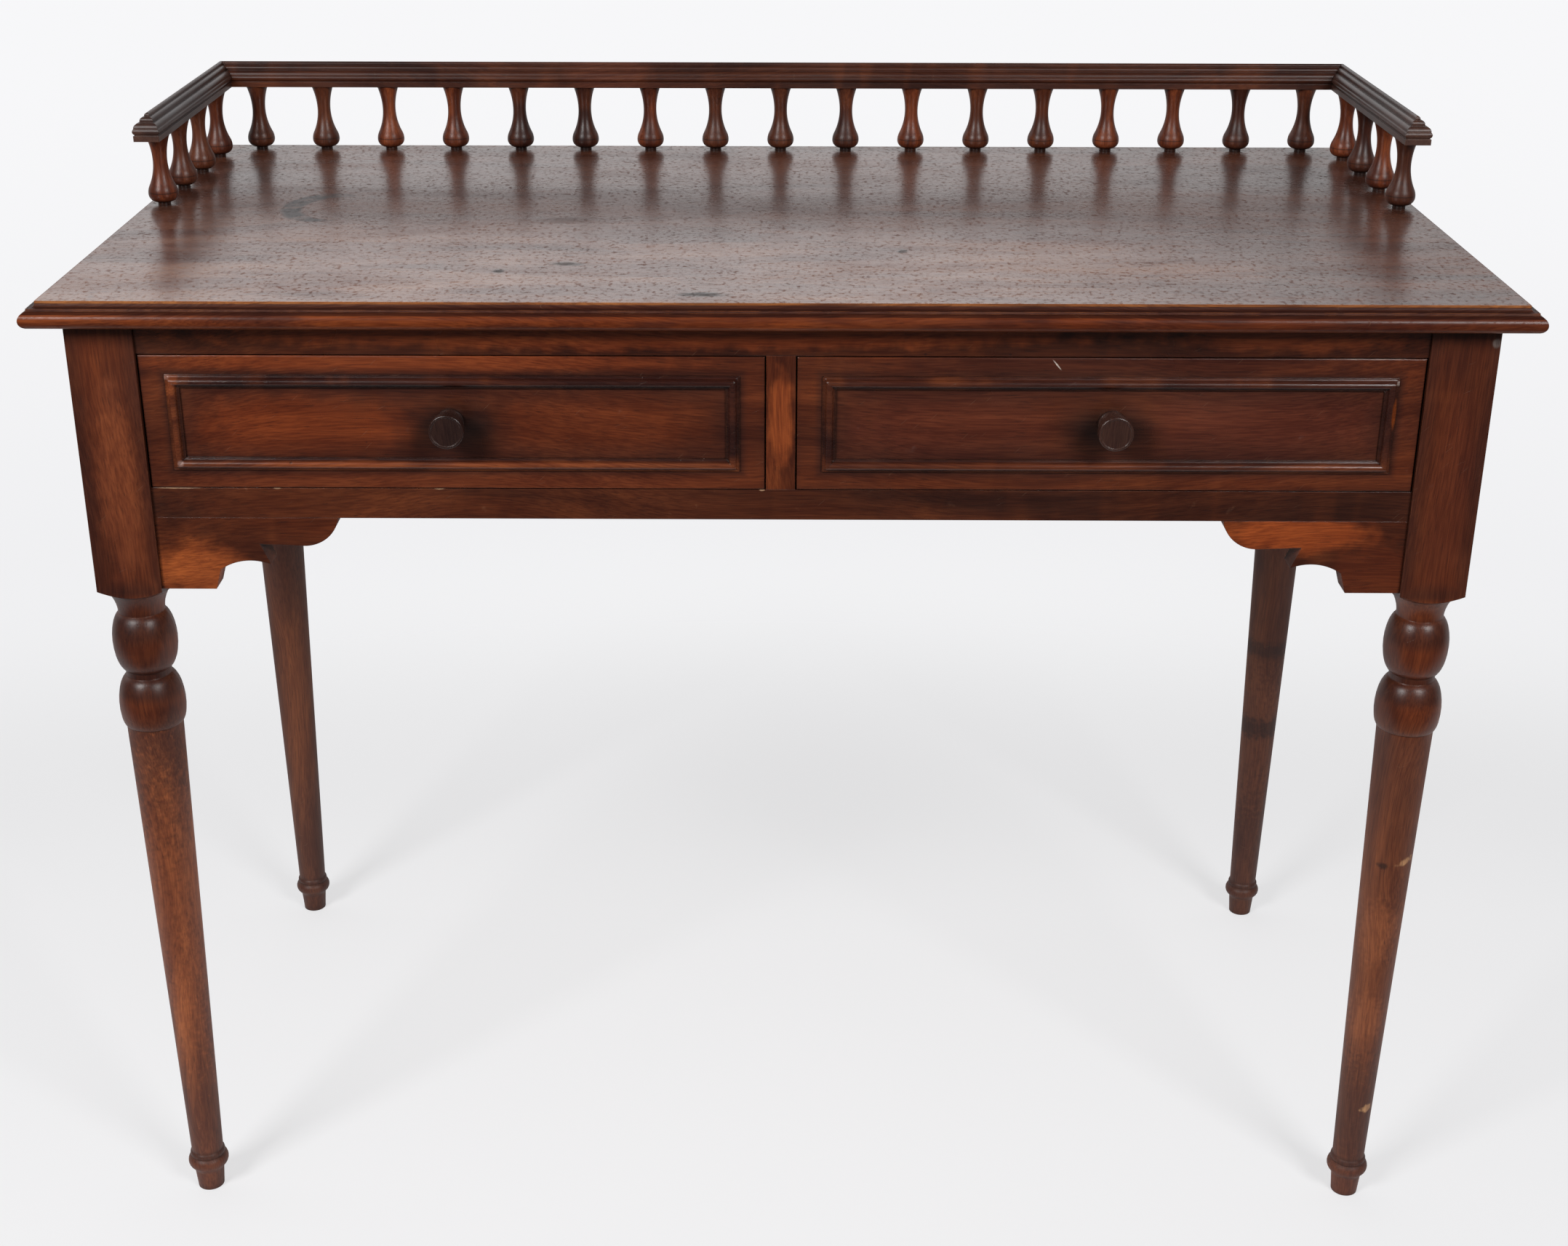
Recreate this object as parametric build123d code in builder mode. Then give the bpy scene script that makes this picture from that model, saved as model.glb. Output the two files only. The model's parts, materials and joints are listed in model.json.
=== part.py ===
"""Two-drawer writing table with turned legs and a spindle gallery.

Millimetres, +Z up, front towards -Y.  The origin is on the floor, under the
middle of the top.  Every piece is built where it stands in the finished table.
"""
from build123d import *
import os
from math import sqrt

os.makedirs("parts", exist_ok=True)

# --------------------------------------------------------------------------
# Driving dimensions
# --------------------------------------------------------------------------

# Top board
top_length = 1030.0         # along X, over the moulded edges
top_depth = 538.0           # along Y, moulded front edge to square back edge
top_thick = 18.0
desk_height = 760.0         # floor to writing surface

# Moulding on the front and side edges of the top, from the arris downwards
arris_inset = 10.0          # arris back from the outermost line of the edge
arris_drop = 1.6            # small upright face under the arris
cove_width = 3.6
cove_drop = 2.6
fillet_drop = 1.7           # small upright face between cove and torus
torus_bulge = 5.0           # how far the lowest, round member stands out

# Legs
leg_square = 47.0           # square block at the head of each leg
side_overhang = 22.5        # top beyond the outer faces of the legs
front_overhang = 23.0
back_overhang = 28.5
block_length = 201.0        # under the top, down to the corners of the block

# Turning, from the block down; the long taper takes what is left
shoulder_drop = 5.8         # fall of the coned underside of the block
shoulder_radius = 22.4      # where the cone meets the hollow neck
neck_length = 17.5
neck_radius = 16.8
upper_bulb_length = 46.0
upper_bulb_radius = 23.4
collar_length = 4.5
collar_radius = 16.6
lower_bulb_length = 39.5
lower_bulb_radius = 24.0
lower_bulb_end = 21.6       # radius where the lower bulb stops on the taper
bulb_fullness = 0.15        # share of a bulb's length that each handle reaches
taper_top_radius = 20.7
taper_foot_radius = 12.6
ankle_bead_radius = 13.9
ankle_bead_length = 5.0
ankle_ring_radius = 16.1
ankle_ring_length = 11.0
ankle_root_radius = 13.3    # between the ring and its neighbours
ankle_cove_length = 4.5
foot_length = 15.5
foot_top_radius = 11.6
foot_radius = 10.4

# Rails and aprons
rail_set_back = 2.5         # faces of rails and aprons behind the leg faces
rail_depth = 44.0           # top rail, lower rail and divider, front to back
top_rail_height = 23.5
opening_height = 98.0       # drawer opening
lower_rail_height = 22.5
divider_width = 20.5
apron_thick = 20.0
tenon_length = 20.0
tenon_thick = 9.0
tenon_shoulder = 7.0        # wood left on each edge of a tenon
divider_tenon = 10.0
glue_gap = 0.1              # play around every glued tenon and dowel

# Scroll brackets: reach is measured from the leg, drop from the lower rail
bracket_thick = 20.0
lobe_reach = 131.0
lobe_drop = 21.5
lobe_round = 25.5           # length of the rounded end of the lobe
notch_reach = 73.5
notch_drop = 20.3
cusp_reach = 80.3
cusp_drop = 36.0
arch_reach = 64.2
arch_drop = 33.0
knee_reach = 43.5
knee_drop = 40.1
toe_reach = 39.2
toe_drop = 55.0

# Gallery
gallery_side_inset = 23.0   # centre line of a side rail in from the edge of the top
gallery_back_inset = 15.2
gallery_clear = 55.5        # writing surface to the underside of the gallery rail
gallery_rail_width = 20.8
gallery_rail_height = 20.8
back_balusters = 17
side_balusters = 4
back_corner_gap = 29.8      # first baluster from the corner, along the back
side_corner_gap = 33.8      # first baluster from the corner, along a side
side_pitch = 62.6
rail_end = 32.0             # side rail beyond its foremost baluster

# Gallery rail section, from the underside up
base_inset = 0.4
base_height = 4.4
quirk_inset = 1.3           # groove between the base and the bead
quirk_height = 0.8
bead_height = 4.6
bead_top_inset = 1.0
lower_round_width = 3.7
lower_round_height = 4.0
step_width = 0.6
step_height = 1.3
upper_round_width = 2.5
upper_round_height = 2.8
crest_step = 0.7
crest_drop = 1.5            # rise of the round crest itself
round_swell = 0.22          # bulge of both rounds, as a share of their chord

# Balusters
baluster_foot_radius = 5.0
baluster_foot_height = 2.4
baluster_bulb_radius = 11.7
baluster_bulb_height = 9.0  # widest line of the bulb above the top
bulb_shoulder_radius = 14.0     # round of the bulb above its widest line
baluster_waist_radius = 5.6
baluster_waist_height = 35.2
baluster_head_radius = 9.5
dowel_radius = 4.0
dowel_length = 8.0

# Drawers
drawer_side_gap = 1.0
drawer_top_gap = 0.8
run_gap = 0.3               # under the drawer, and between its front and the stops
drawer_rear_gap = 27.5      # ends of the drawer sides to the back apron
front_thick = 20.0
front_edge_round = 0.8
drawer_side_thick = 10.0
drawer_side_drop = 1.2      # drawer sides lower than the drawer front
drawer_back_thick = 10.0
drawer_back_drop = 6.0      # drawer back lower than the drawer sides
back_set_in = 8.0           # drawer back in from the ends of the sides
back_housing = 4.0          # depth of the back in the sides
bottom_thick = 6.0
bottom_raise = 8.0          # bottom above the lower edge of the drawer
bottom_groove = 5.0
tail_count = 3
tail_length = 14.0
tail_width = 20.0           # at the tip of a tail
tail_slope = 2.5            # narrower on each edge at the root

# Bead frame planted on each drawer front
bead_side_margin = 17.5
bead_top_margin = 13.5
bead_width = 9.6
bead_proud = 5.0
bead_edge = 1.2             # upright edge of the strip
bead_cove_width = 2.2
bead_cove_rise = 1.2

# Knobs
knob_radius = 12.2
knob_proud = 24.0
knob_base_radius = 9.6
knob_base_thick = 2.0
knob_neck_radius = 6.8
knob_neck_place = 8.5       # narrowest point, from the drawer front
knob_head_thick = 8.5
knob_edge_round = 1.0
knob_rim_width = 0.6
knob_rim_height = 0.4
spigot_radius = 5.0
knob_outset = 2.6           # knobs outside the middle of their drawers
knob_raise = 1.0            # and above it

# Drawer runners, kickers and stops
ledge_thick = 18.0
ledge_cover = 6.0           # ledge beyond the inner face of the drawer side
guide_height = 13.5
guide_gap = 0.6             # between a guide and the drawer side
kicker_width = 44.0
stop_length = 40.0
stop_depth = 12.0
stop_thick = 5.0
stop_spacing = 260.0

# --------------------------------------------------------------------------
# Levels and lines that follow from them
# --------------------------------------------------------------------------
top_under = desk_height - top_thick
block_end = top_under - block_length
opening_top = top_under - top_rail_height
opening_floor = opening_top - opening_height
rail_under = opening_floor - lower_rail_height

front_edge = -top_depth / 2
back_edge = top_depth / 2
leg_outer = top_length / 2 - side_overhang
leg_inner = leg_outer - leg_square
leg_x = (leg_outer + leg_inner) / 2
leg_front = front_edge + front_overhang
leg_back = back_edge - back_overhang
front_leg_rear = leg_front + leg_square
back_leg_fore = leg_back - leg_square

rail_front = leg_front + rail_set_back
rail_rear = rail_front + rail_depth
side_apron_outer = leg_outer - rail_set_back
side_apron_inner = side_apron_outer - apron_thick
back_apron_outer = leg_back - rail_set_back
back_apron_inner = back_apron_outer - apron_thick

opening_width = leg_inner - divider_width / 2
drawer_width = opening_width - 2 * drawer_side_gap
drawer_x = (leg_inner + divider_width / 2) / 2
drawer_floor = opening_floor + run_gap
drawer_front_top = opening_top - drawer_top_gap
drawer_side_top = drawer_front_top - drawer_side_drop
front_inside = rail_front + front_thick
drawer_rear = back_apron_inner - drawer_rear_gap
inner_half = drawer_width / 2 - drawer_side_thick
bottom_under = drawer_floor + bottom_raise
bottom_top = bottom_under + bottom_thick

gallery_x = top_length / 2 - gallery_side_inset
gallery_y = back_edge - gallery_back_inset
gallery_under = desk_height + gallery_clear
side_baluster_y = gallery_y - side_corner_gap
side_rail_front = side_baluster_y - (side_balusters - 1) * side_pitch - rail_end
back_pitch = 2 * (gallery_x - back_corner_gap) / (back_balusters - 1)


def block(x, y, z, mode=Mode.ADD):
    """Squared block between a pair of limits on each axis."""
    with Locations(((x[0] + x[1]) / 2, (y[0] + y[1]) / 2, (z[0] + z[1]) / 2)):
        Box(abs(x[1] - x[0]), abs(y[1] - y[0]), abs(z[1] - z[0]), mode=mode)


def grown(limits, by):
    """A pair of limits moved apart."""
    return min(limits) - by, max(limits) + by


def front_view(x, y, z=0.0):
    """Upright plane that faces the front: x to the right, y up."""
    return Plane(origin=(x, y, z), x_dir=(1, 0, 0), z_dir=(0, -1, 0))


def edge_view(y, z=0.0, x=0.0):
    """Upright plane seen from the right: x towards the front, y up."""
    return Plane(origin=(x, y, z), x_dir=(0, -1, 0), z_dir=(-1, 0, 0))


# --------------------------------------------------------------------------
# Top board: one board with a moulded edge on the front and both sides
# --------------------------------------------------------------------------
def moulded_edge(outermost):
    """Moulding from the arris to the underside, then back along the board."""
    arris = outermost - arris_inset
    fillet = outermost - torus_bulge
    cove_top = desk_height - arris_drop
    cove_foot = cove_top - cove_drop
    torus_top = cove_foot - fillet_drop
    torus_mid = (torus_top + top_under) / 2
    Polyline((0, top_under), (0, desk_height), (arris, desk_height), (arris, cove_top))
    TangentArc((arris, cove_top), (arris + cove_width, cove_foot), tangent=(0, -1))
    Polyline((arris + cove_width, cove_foot), (fillet, cove_foot), (fillet, torus_top))
    ThreePointArc((fillet, torus_top), (outermost, torus_mid), (fillet, top_under))
    Line((fillet, top_under), (0, top_under))


def baluster_spots():
    """Place of each baluster on the writing surface, by name."""
    spots = {}
    for number in range(back_balusters):
        x = number * back_pitch - gallery_x + back_corner_gap
        spots[f"baluster_back_{number + 1:02d}"] = (x, gallery_y)
    for side, x in (("left", -gallery_x), ("right", gallery_x)):
        for number in range(side_balusters):
            y = side_baluster_y - number * side_pitch
            spots[f"baluster_{side}_{number + 1}"] = (x, y)
    return spots


with BuildPart() as top_board:
    with BuildSketch(edge_view(0)):
        with BuildLine():
            moulded_edge(top_depth / 2)
        make_face()
        with Locations((-top_depth / 4, desk_height - top_thick / 2)):
            Rectangle(top_depth / 2, top_thick)
    extrude(amount=top_length / 2, both=True)
    with BuildSketch(front_view(0, 0)):
        with BuildLine():
            moulded_edge(top_length / 2)
        make_face()
        mirror(about=Plane.YZ)
    extrude(amount=top_depth, both=True, mode=Mode.INTERSECT)
    with BuildSketch(Plane.XY.offset(desk_height)):
        with Locations(*baluster_spots().values()):
            Circle(dowel_radius + glue_gap)
    extrude(amount=-dowel_length - glue_gap, mode=Mode.SUBTRACT)
top_board.part.label = "top_board"
export_step(top_board.part, "parts/top_board.step")


# --------------------------------------------------------------------------
# Tenons, each described once for the rail that has it and the leg that takes it
# --------------------------------------------------------------------------
rail_tenon_y = (rail_front + tenon_shoulder, rail_rear - tenon_shoulder)
top_tenon_z = (opening_top + tenon_shoulder, top_under - tenon_shoulder)
lower_tenon_z = (rail_under + tenon_shoulder, opening_floor - tenon_shoulder)
apron_tenon_z = (rail_under + tenon_shoulder, top_under - tenon_shoulder)
apron_tenon_inset = (apron_thick - tenon_thick) / 2
side_tenon_x = (side_apron_inner + apron_tenon_inset, side_apron_outer - apron_tenon_inset)
back_tenon_y = (back_apron_inner + apron_tenon_inset, back_apron_outer - apron_tenon_inset)
mortise_end = leg_inner + tenon_length + glue_gap


# --------------------------------------------------------------------------
# Legs: a square, mortised block above a long turned shaft
# --------------------------------------------------------------------------
def bulb(top, foot, belly):
    """Swelling between two necks; belly is its radius half way along."""
    # Half way, a cubic curve holds 1/8 of each end and 3/8 of each handle.
    handle = (8 * belly - top[0] - foot[0]) / 6
    reach = bulb_fullness * (top[1] - foot[1])
    Bezier(foot, (handle, foot[1] + reach), (handle, top[1] - reach), top)


shoulder_foot = block_end - shoulder_drop
neck_foot = shoulder_foot - neck_length
upper_bulb_foot = neck_foot - upper_bulb_length
lower_bulb_top = upper_bulb_foot - collar_length
lower_bulb_foot = lower_bulb_top - lower_bulb_length
ring_under = foot_length + ankle_cove_length
ring_top = ring_under + ankle_ring_length
taper_foot = ring_top + ankle_bead_length


def turned_outline():
    """Half outline of the turning, from the floor to the underside of the block."""
    foot_top = (foot_top_radius, foot_length)
    ring_foot = (ankle_root_radius, ring_under)
    ring_head = (ankle_root_radius, ring_top)
    taper_end = (taper_foot_radius, taper_foot)
    Polyline((0, 0), (foot_radius, 0), foot_top)
    TangentArc(foot_top, ring_foot, tangent=(0, 1))
    ThreePointArc(ring_foot, (ankle_ring_radius, (ring_under + ring_top) / 2), ring_head)
    ThreePointArc(ring_head, (ankle_bead_radius, (ring_top + taper_foot) / 2), taper_end)
    Polyline(
        taper_end, (taper_top_radius, lower_bulb_foot), (lower_bulb_end, lower_bulb_foot)
    )
    bulb(
        top=(collar_radius, lower_bulb_top),
        foot=(lower_bulb_end, lower_bulb_foot),
        belly=lower_bulb_radius,
    )
    Line((collar_radius, lower_bulb_top), (collar_radius, upper_bulb_foot))
    bulb(
        top=(neck_radius, neck_foot),
        foot=(collar_radius, upper_bulb_foot),
        belly=upper_bulb_radius,
    )
    TangentArc((neck_radius, neck_foot), (shoulder_radius, shoulder_foot), tangent=(0, 1))
    Polyline((shoulder_radius, shoulder_foot), (0, shoulder_foot), (0, 0))


def shoulder_waste():
    """Half outline of the wood turned away under the block, out past its corners."""
    corner = leg_square / sqrt(2)
    slope = shoulder_drop / (corner - shoulder_radius)
    rim = leg_square
    Polyline(
        (shoulder_radius, shoulder_foot), (rim, shoulder_foot),
        (rim, shoulder_foot + slope * (rim - shoulder_radius)), close=True,
    )


for depth_name, leg_y in (
    ("front", (leg_front, front_leg_rear)), ("back", (back_leg_fore, leg_back))
):
    for side_name, side in (("left", -1), ("right", 1)):
        axis_y = (leg_y[0] + leg_y[1]) / 2
        turning_axis = Axis((side * leg_x, axis_y, 0), (0, 0, 1))
        with BuildPart() as leg:
            block((side * leg_inner, side * leg_outer), leg_y, (shoulder_foot, top_under))
            with BuildSketch(front_view(side * leg_x, axis_y)):
                with BuildLine():
                    shoulder_waste()
                make_face()
            revolve(axis=turning_axis, mode=Mode.SUBTRACT)
            with BuildSketch(front_view(side * leg_x, axis_y)):
                with BuildLine():
                    turned_outline()
                make_face()
            revolve(axis=turning_axis)
            mortise_x = (side * leg_inner, side * mortise_end)
            apron_x = grown((side * side_tenon_x[0], side * side_tenon_x[1]), glue_gap)
            apron_z = grown(apron_tenon_z, glue_gap)
            if depth_name == "front":
                for tenon_z in (top_tenon_z, lower_tenon_z):
                    block(
                        mortise_x, grown(rail_tenon_y, glue_gap), grown(tenon_z, glue_gap),
                        mode=Mode.SUBTRACT,
                    )
                mortise_y = (front_leg_rear - tenon_length - glue_gap, front_leg_rear)
            else:
                block(mortise_x, grown(back_tenon_y, glue_gap), apron_z, mode=Mode.SUBTRACT)
                mortise_y = (back_leg_fore, back_leg_fore + tenon_length + glue_gap)
            block(apron_x, mortise_y, apron_z, mode=Mode.SUBTRACT)
        leg.part.label = f"leg_{depth_name}_{side_name}"
        export_step(leg.part, f"parts/leg_{depth_name}_{side_name}.step")


# --------------------------------------------------------------------------
# Front frame: top rail, lower rail, and the divider between the drawers
# --------------------------------------------------------------------------
divider_tenon_x = (-tenon_thick / 2, tenon_thick / 2)

with BuildPart() as top_rail:
    block((-leg_inner, leg_inner), (rail_front, rail_rear), (opening_top, top_under))
    block((-leg_inner - tenon_length, leg_inner + tenon_length), rail_tenon_y, top_tenon_z)
    block(
        grown(divider_tenon_x, glue_gap), grown(rail_tenon_y, glue_gap),
        (opening_top, opening_top + divider_tenon + glue_gap), mode=Mode.SUBTRACT,
    )
top_rail.part.label = "top_rail"
export_step(top_rail.part, "parts/top_rail.step")

with BuildPart() as lower_rail:
    block((-leg_inner, leg_inner), (rail_front, rail_rear), (rail_under, opening_floor))
    block((-leg_inner - tenon_length, leg_inner + tenon_length), rail_tenon_y, lower_tenon_z)
    block(
        grown(divider_tenon_x, glue_gap), grown(rail_tenon_y, glue_gap),
        (opening_floor - divider_tenon - glue_gap, opening_floor), mode=Mode.SUBTRACT,
    )
lower_rail.part.label = "lower_rail"
export_step(lower_rail.part, "parts/lower_rail.step")

with BuildPart() as drawer_divider:
    block(
        (-divider_width / 2, divider_width / 2), (rail_front, rail_rear),
        (opening_floor, opening_top),
    )
    block(divider_tenon_x, rail_tenon_y, grown((opening_floor, opening_top), divider_tenon))
drawer_divider.part.label = "drawer_divider"
export_step(drawer_divider.part, "parts/drawer_divider.step")

# --------------------------------------------------------------------------
# Aprons on the sides and the back
# --------------------------------------------------------------------------
for side_name, side in (("left", -1), ("right", 1)):
    with BuildPart() as side_apron:
        block(
            (side * side_apron_inner, side * side_apron_outer),
            (front_leg_rear, back_leg_fore), (rail_under, top_under),
        )
        block(
            (side * side_tenon_x[0], side * side_tenon_x[1]),
            grown((front_leg_rear, back_leg_fore), tenon_length), apron_tenon_z,
        )
    side_apron.part.label = f"side_apron_{side_name}"
    export_step(side_apron.part, f"parts/side_apron_{side_name}.step")

with BuildPart() as back_apron:
    block(
        (-leg_inner, leg_inner), (back_apron_inner, back_apron_outer), (rail_under, top_under)
    )
    block(grown((-leg_inner, leg_inner), tenon_length), back_tenon_y, apron_tenon_z)
back_apron.part.label = "back_apron"
export_step(back_apron.part, "parts/back_apron.step")

# --------------------------------------------------------------------------
# Scroll brackets, sawn to a lobe, a notch with a cusp, and an arched toe
# --------------------------------------------------------------------------
for side_name, side in (("left", -1), ("right", 1)):
    corner = Plane(
        origin=(side * leg_inner, rail_front, rail_under), x_dir=(-side, 0, 0),
        z_dir=(0, side, 0),
    )
    with BuildPart() as bracket:
        with BuildSketch(corner):
            with BuildLine():
                lobe_foot = (lobe_reach - lobe_round, -lobe_drop)
                notch = (notch_reach, -notch_drop)
                cusp = (cusp_reach, -cusp_drop)
                knee = (knee_reach, -knee_drop)
                Line((0, 0), (lobe_reach, 0))
                TangentArc(lobe_foot, (lobe_reach, 0), tangent=(1, 0))
                Polyline(lobe_foot, notch, cusp)
                ThreePointArc(cusp, (arch_reach, -arch_drop), knee)
                Polyline(knee, (toe_reach, -toe_drop), (0, -toe_drop), (0, 0))
            make_face()
        extrude(amount=side * bracket_thick)
    bracket.part.label = f"bracket_{side_name}"
    export_step(bracket.part, f"parts/bracket_{side_name}.step")


# --------------------------------------------------------------------------
# Gallery: moulded rail mitred at the back corners, returned at its front ends
# --------------------------------------------------------------------------
def swelled(start, end):
    """Convex arc from start up to end, bulging outwards and upwards."""
    rise_x = end[0] - start[0]
    rise_y = end[1] - start[1]
    middle = (
        (start[0] + end[0]) / 2 + round_swell * rise_y,
        (start[1] + end[1]) / 2 - round_swell * rise_x,
    )
    ThreePointArc(start, middle, end)


def rail_outline():
    """Right half of the rail section, standing on its underside."""
    half = gallery_rail_width / 2
    base = half - base_inset
    bead_foot = (half - quirk_inset, base_height + quirk_height)
    bead_top = (half - bead_top_inset, bead_foot[1] + bead_height)
    lower_end = (bead_top[0] - lower_round_width, bead_top[1] + lower_round_height)
    upper_start = (lower_end[0] - step_width, lower_end[1] + step_height)
    upper_end = (upper_start[0] - upper_round_width, upper_start[1] + upper_round_height)
    crest_foot = (upper_end[0] - crest_step, gallery_rail_height - crest_drop)
    Polyline(
        (0, 0), (base, 0), (base, base_height), (bead_foot[0], base_height), bead_foot
    )
    ThreePointArc(bead_foot, (half, bead_foot[1] + bead_height / 2), bead_top)
    swelled(bead_top, lower_end)
    Polyline(lower_end, (upper_start[0], lower_end[1]), upper_start)
    swelled(upper_start, upper_end)
    Polyline(upper_end, (crest_foot[0], upper_end[1]), crest_foot)
    TangentArc((0, gallery_rail_height), crest_foot, tangent=(1, 0))


def row_spots(row):
    """Places of the balusters that carry one rail."""
    return [spot for name, spot in baluster_spots().items() if row in name]


def mitre(side):
    """Upright plane through a back corner; the side rail lies on its positive side."""
    return Plane(origin=(side * gallery_x, gallery_y, 0), z_dir=(side, -1, 0))


with BuildPart() as gallery_rail_back:
    with BuildSketch(edge_view(gallery_y, gallery_under)):
        with BuildLine():
            rail_outline()
            Line((0, gallery_rail_height), (0, 0))
        make_face()
        mirror(about=Plane.YZ)
    extrude(amount=gallery_x + gallery_rail_width, both=True)
    split(bisect_by=mitre(-1), keep=Keep.BOTTOM)
    split(bisect_by=mitre(1), keep=Keep.BOTTOM)
    with BuildSketch(Plane.XY.offset(gallery_under)):
        with Locations(*row_spots("back")):
            Circle(dowel_radius + glue_gap)
    extrude(amount=dowel_length + glue_gap, mode=Mode.SUBTRACT)
gallery_rail_back.part.label = "gallery_rail_back"
export_step(gallery_rail_back.part, "parts/gallery_rail_back.step")

for side_name, side in (("left", -1), ("right", 1)):
    rail_reach = gallery_y + gallery_rail_width - side_rail_front
    return_line = side_rail_front + gallery_rail_width / 2
    with BuildPart() as gallery_rail_side:
        with BuildSketch(front_view(side * gallery_x, side_rail_front, gallery_under)):
            with BuildLine():
                rail_outline()
                Line((0, gallery_rail_height), (0, 0))
            make_face()
            mirror(about=Plane.YZ)
        extrude(amount=-rail_reach)
        with BuildSketch(edge_view(return_line, gallery_under)):
            with BuildLine():
                rail_outline()
                Polyline(
                    (0, gallery_rail_height), (-rail_reach, gallery_rail_height),
                    (-rail_reach, 0), (0, 0),
                )
            make_face()
        extrude(amount=top_length, both=True, mode=Mode.INTERSECT)
        split(bisect_by=mitre(side), keep=Keep.TOP)
        with BuildSketch(Plane.XY.offset(gallery_under)):
            with Locations(*row_spots(side_name)):
                Circle(dowel_radius + glue_gap)
        extrude(amount=dowel_length + glue_gap, mode=Mode.SUBTRACT)
    gallery_rail_side.part.label = f"gallery_rail_{side_name}"
    export_step(gallery_rail_side.part, f"parts/gallery_rail_{side_name}.step")

# --------------------------------------------------------------------------
# Balusters: teardrop bulb, narrow waist, flared head, and a dowel at each end
# --------------------------------------------------------------------------
waist = (baluster_waist_radius, desk_height + baluster_waist_height)
belly = (baluster_bulb_radius, desk_height + baluster_bulb_height)
baluster_foot_top = desk_height + baluster_foot_height

# Below its widest line the bulb is a quarter round that ends flat on the foot.
bulb_foot = (belly[0] - belly[1] + baluster_foot_top, baluster_foot_top)

# The waist hollow is one arc that leaves the bulb's shoulder without a corner.
shoulder_x = baluster_bulb_radius - bulb_shoulder_radius
waist_out = baluster_waist_radius - shoulder_x
waist_rise = waist[1] - belly[1]
hollow_radius = (waist_out**2 + waist_rise**2 - bulb_shoulder_radius**2) / (
    2 * (bulb_shoulder_radius - waist_out)
)
hollow_share = bulb_shoulder_radius / (bulb_shoulder_radius + hollow_radius)
bulb_leave = (
    shoulder_x + hollow_share * (hollow_radius + waist_out),
    belly[1] + hollow_share * waist_rise,
)

with BuildPart() as baluster:
    with BuildSketch(front_view(0, 0)):
        with BuildLine():
            head = (baluster_head_radius, gallery_under)
            dowel_foot = desk_height - dowel_length
            dowel_top = gallery_under + dowel_length
            Polyline(
                (0, dowel_foot), (dowel_radius, dowel_foot), (dowel_radius, desk_height),
                (baluster_foot_radius, desk_height),
                (baluster_foot_radius, baluster_foot_top), bulb_foot,
            )
            TangentArc(bulb_foot, belly, tangent=(1, 0))
            TangentArc(belly, bulb_leave, tangent=(0, 1))
            TangentArc(waist, bulb_leave, tangent=(0, -1))
            TangentArc(waist, head, tangent=(0, 1))
            Polyline(
                head, (dowel_radius, gallery_under), (dowel_radius, dowel_top),
                (0, dowel_top), (0, dowel_foot),
            )
        make_face()
    revolve(axis=Axis.Z)

for name, spot in baluster_spots().items():
    with BuildPart() as standing_baluster:
        with Locations(spot):
            add(baluster.part)
    standing_baluster.part.label = name
    export_step(standing_baluster.part, f"parts/{name}.step")


# --------------------------------------------------------------------------
# Drawers: lapped dovetails at the front, housed back, bottom in grooves
# --------------------------------------------------------------------------
def tails(play):
    """Dovetails seen from the side: narrow at the root, wide at the tip."""
    pitch = (drawer_side_top - drawer_floor) / tail_count
    tip = -front_inside + tail_length + play
    for number in range(tail_count):
        middle = drawer_floor + (2 * number + 1) * pitch / 2
        wide = tail_width / 2 + play
        narrow = wide - tail_slope
        Polygon(
            (-front_inside, middle - narrow), (tip, middle - wide),
            (tip, middle + wide), (-front_inside, middle + narrow), align=None,
        )


def bead_outline():
    """Section of the planted strip: a round between two small hollows."""
    half = bead_width / 2
    shoulder = half - bead_cove_width
    round_foot = bead_edge + bead_cove_rise
    Polyline((0, 0), (half, 0), (half, bead_edge))
    TangentArc((shoulder, round_foot), (half, bead_edge), tangent=(0, -1))
    ThreePointArc((shoulder, round_foot), (0, bead_proud), (-shoulder, round_foot))
    TangentArc((-shoulder, round_foot), (-half, bead_edge), tangent=(0, -1))
    Polyline((-half, bead_edge), (-half, 0), (0, 0))


groove_z = grown((bottom_under, bottom_top), glue_gap)
back_y = (drawer_rear - back_set_in - drawer_back_thick, drawer_rear - back_set_in)
front_middle = (drawer_floor + drawer_front_top) / 2
knob_z = front_middle + knob_raise

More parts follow.
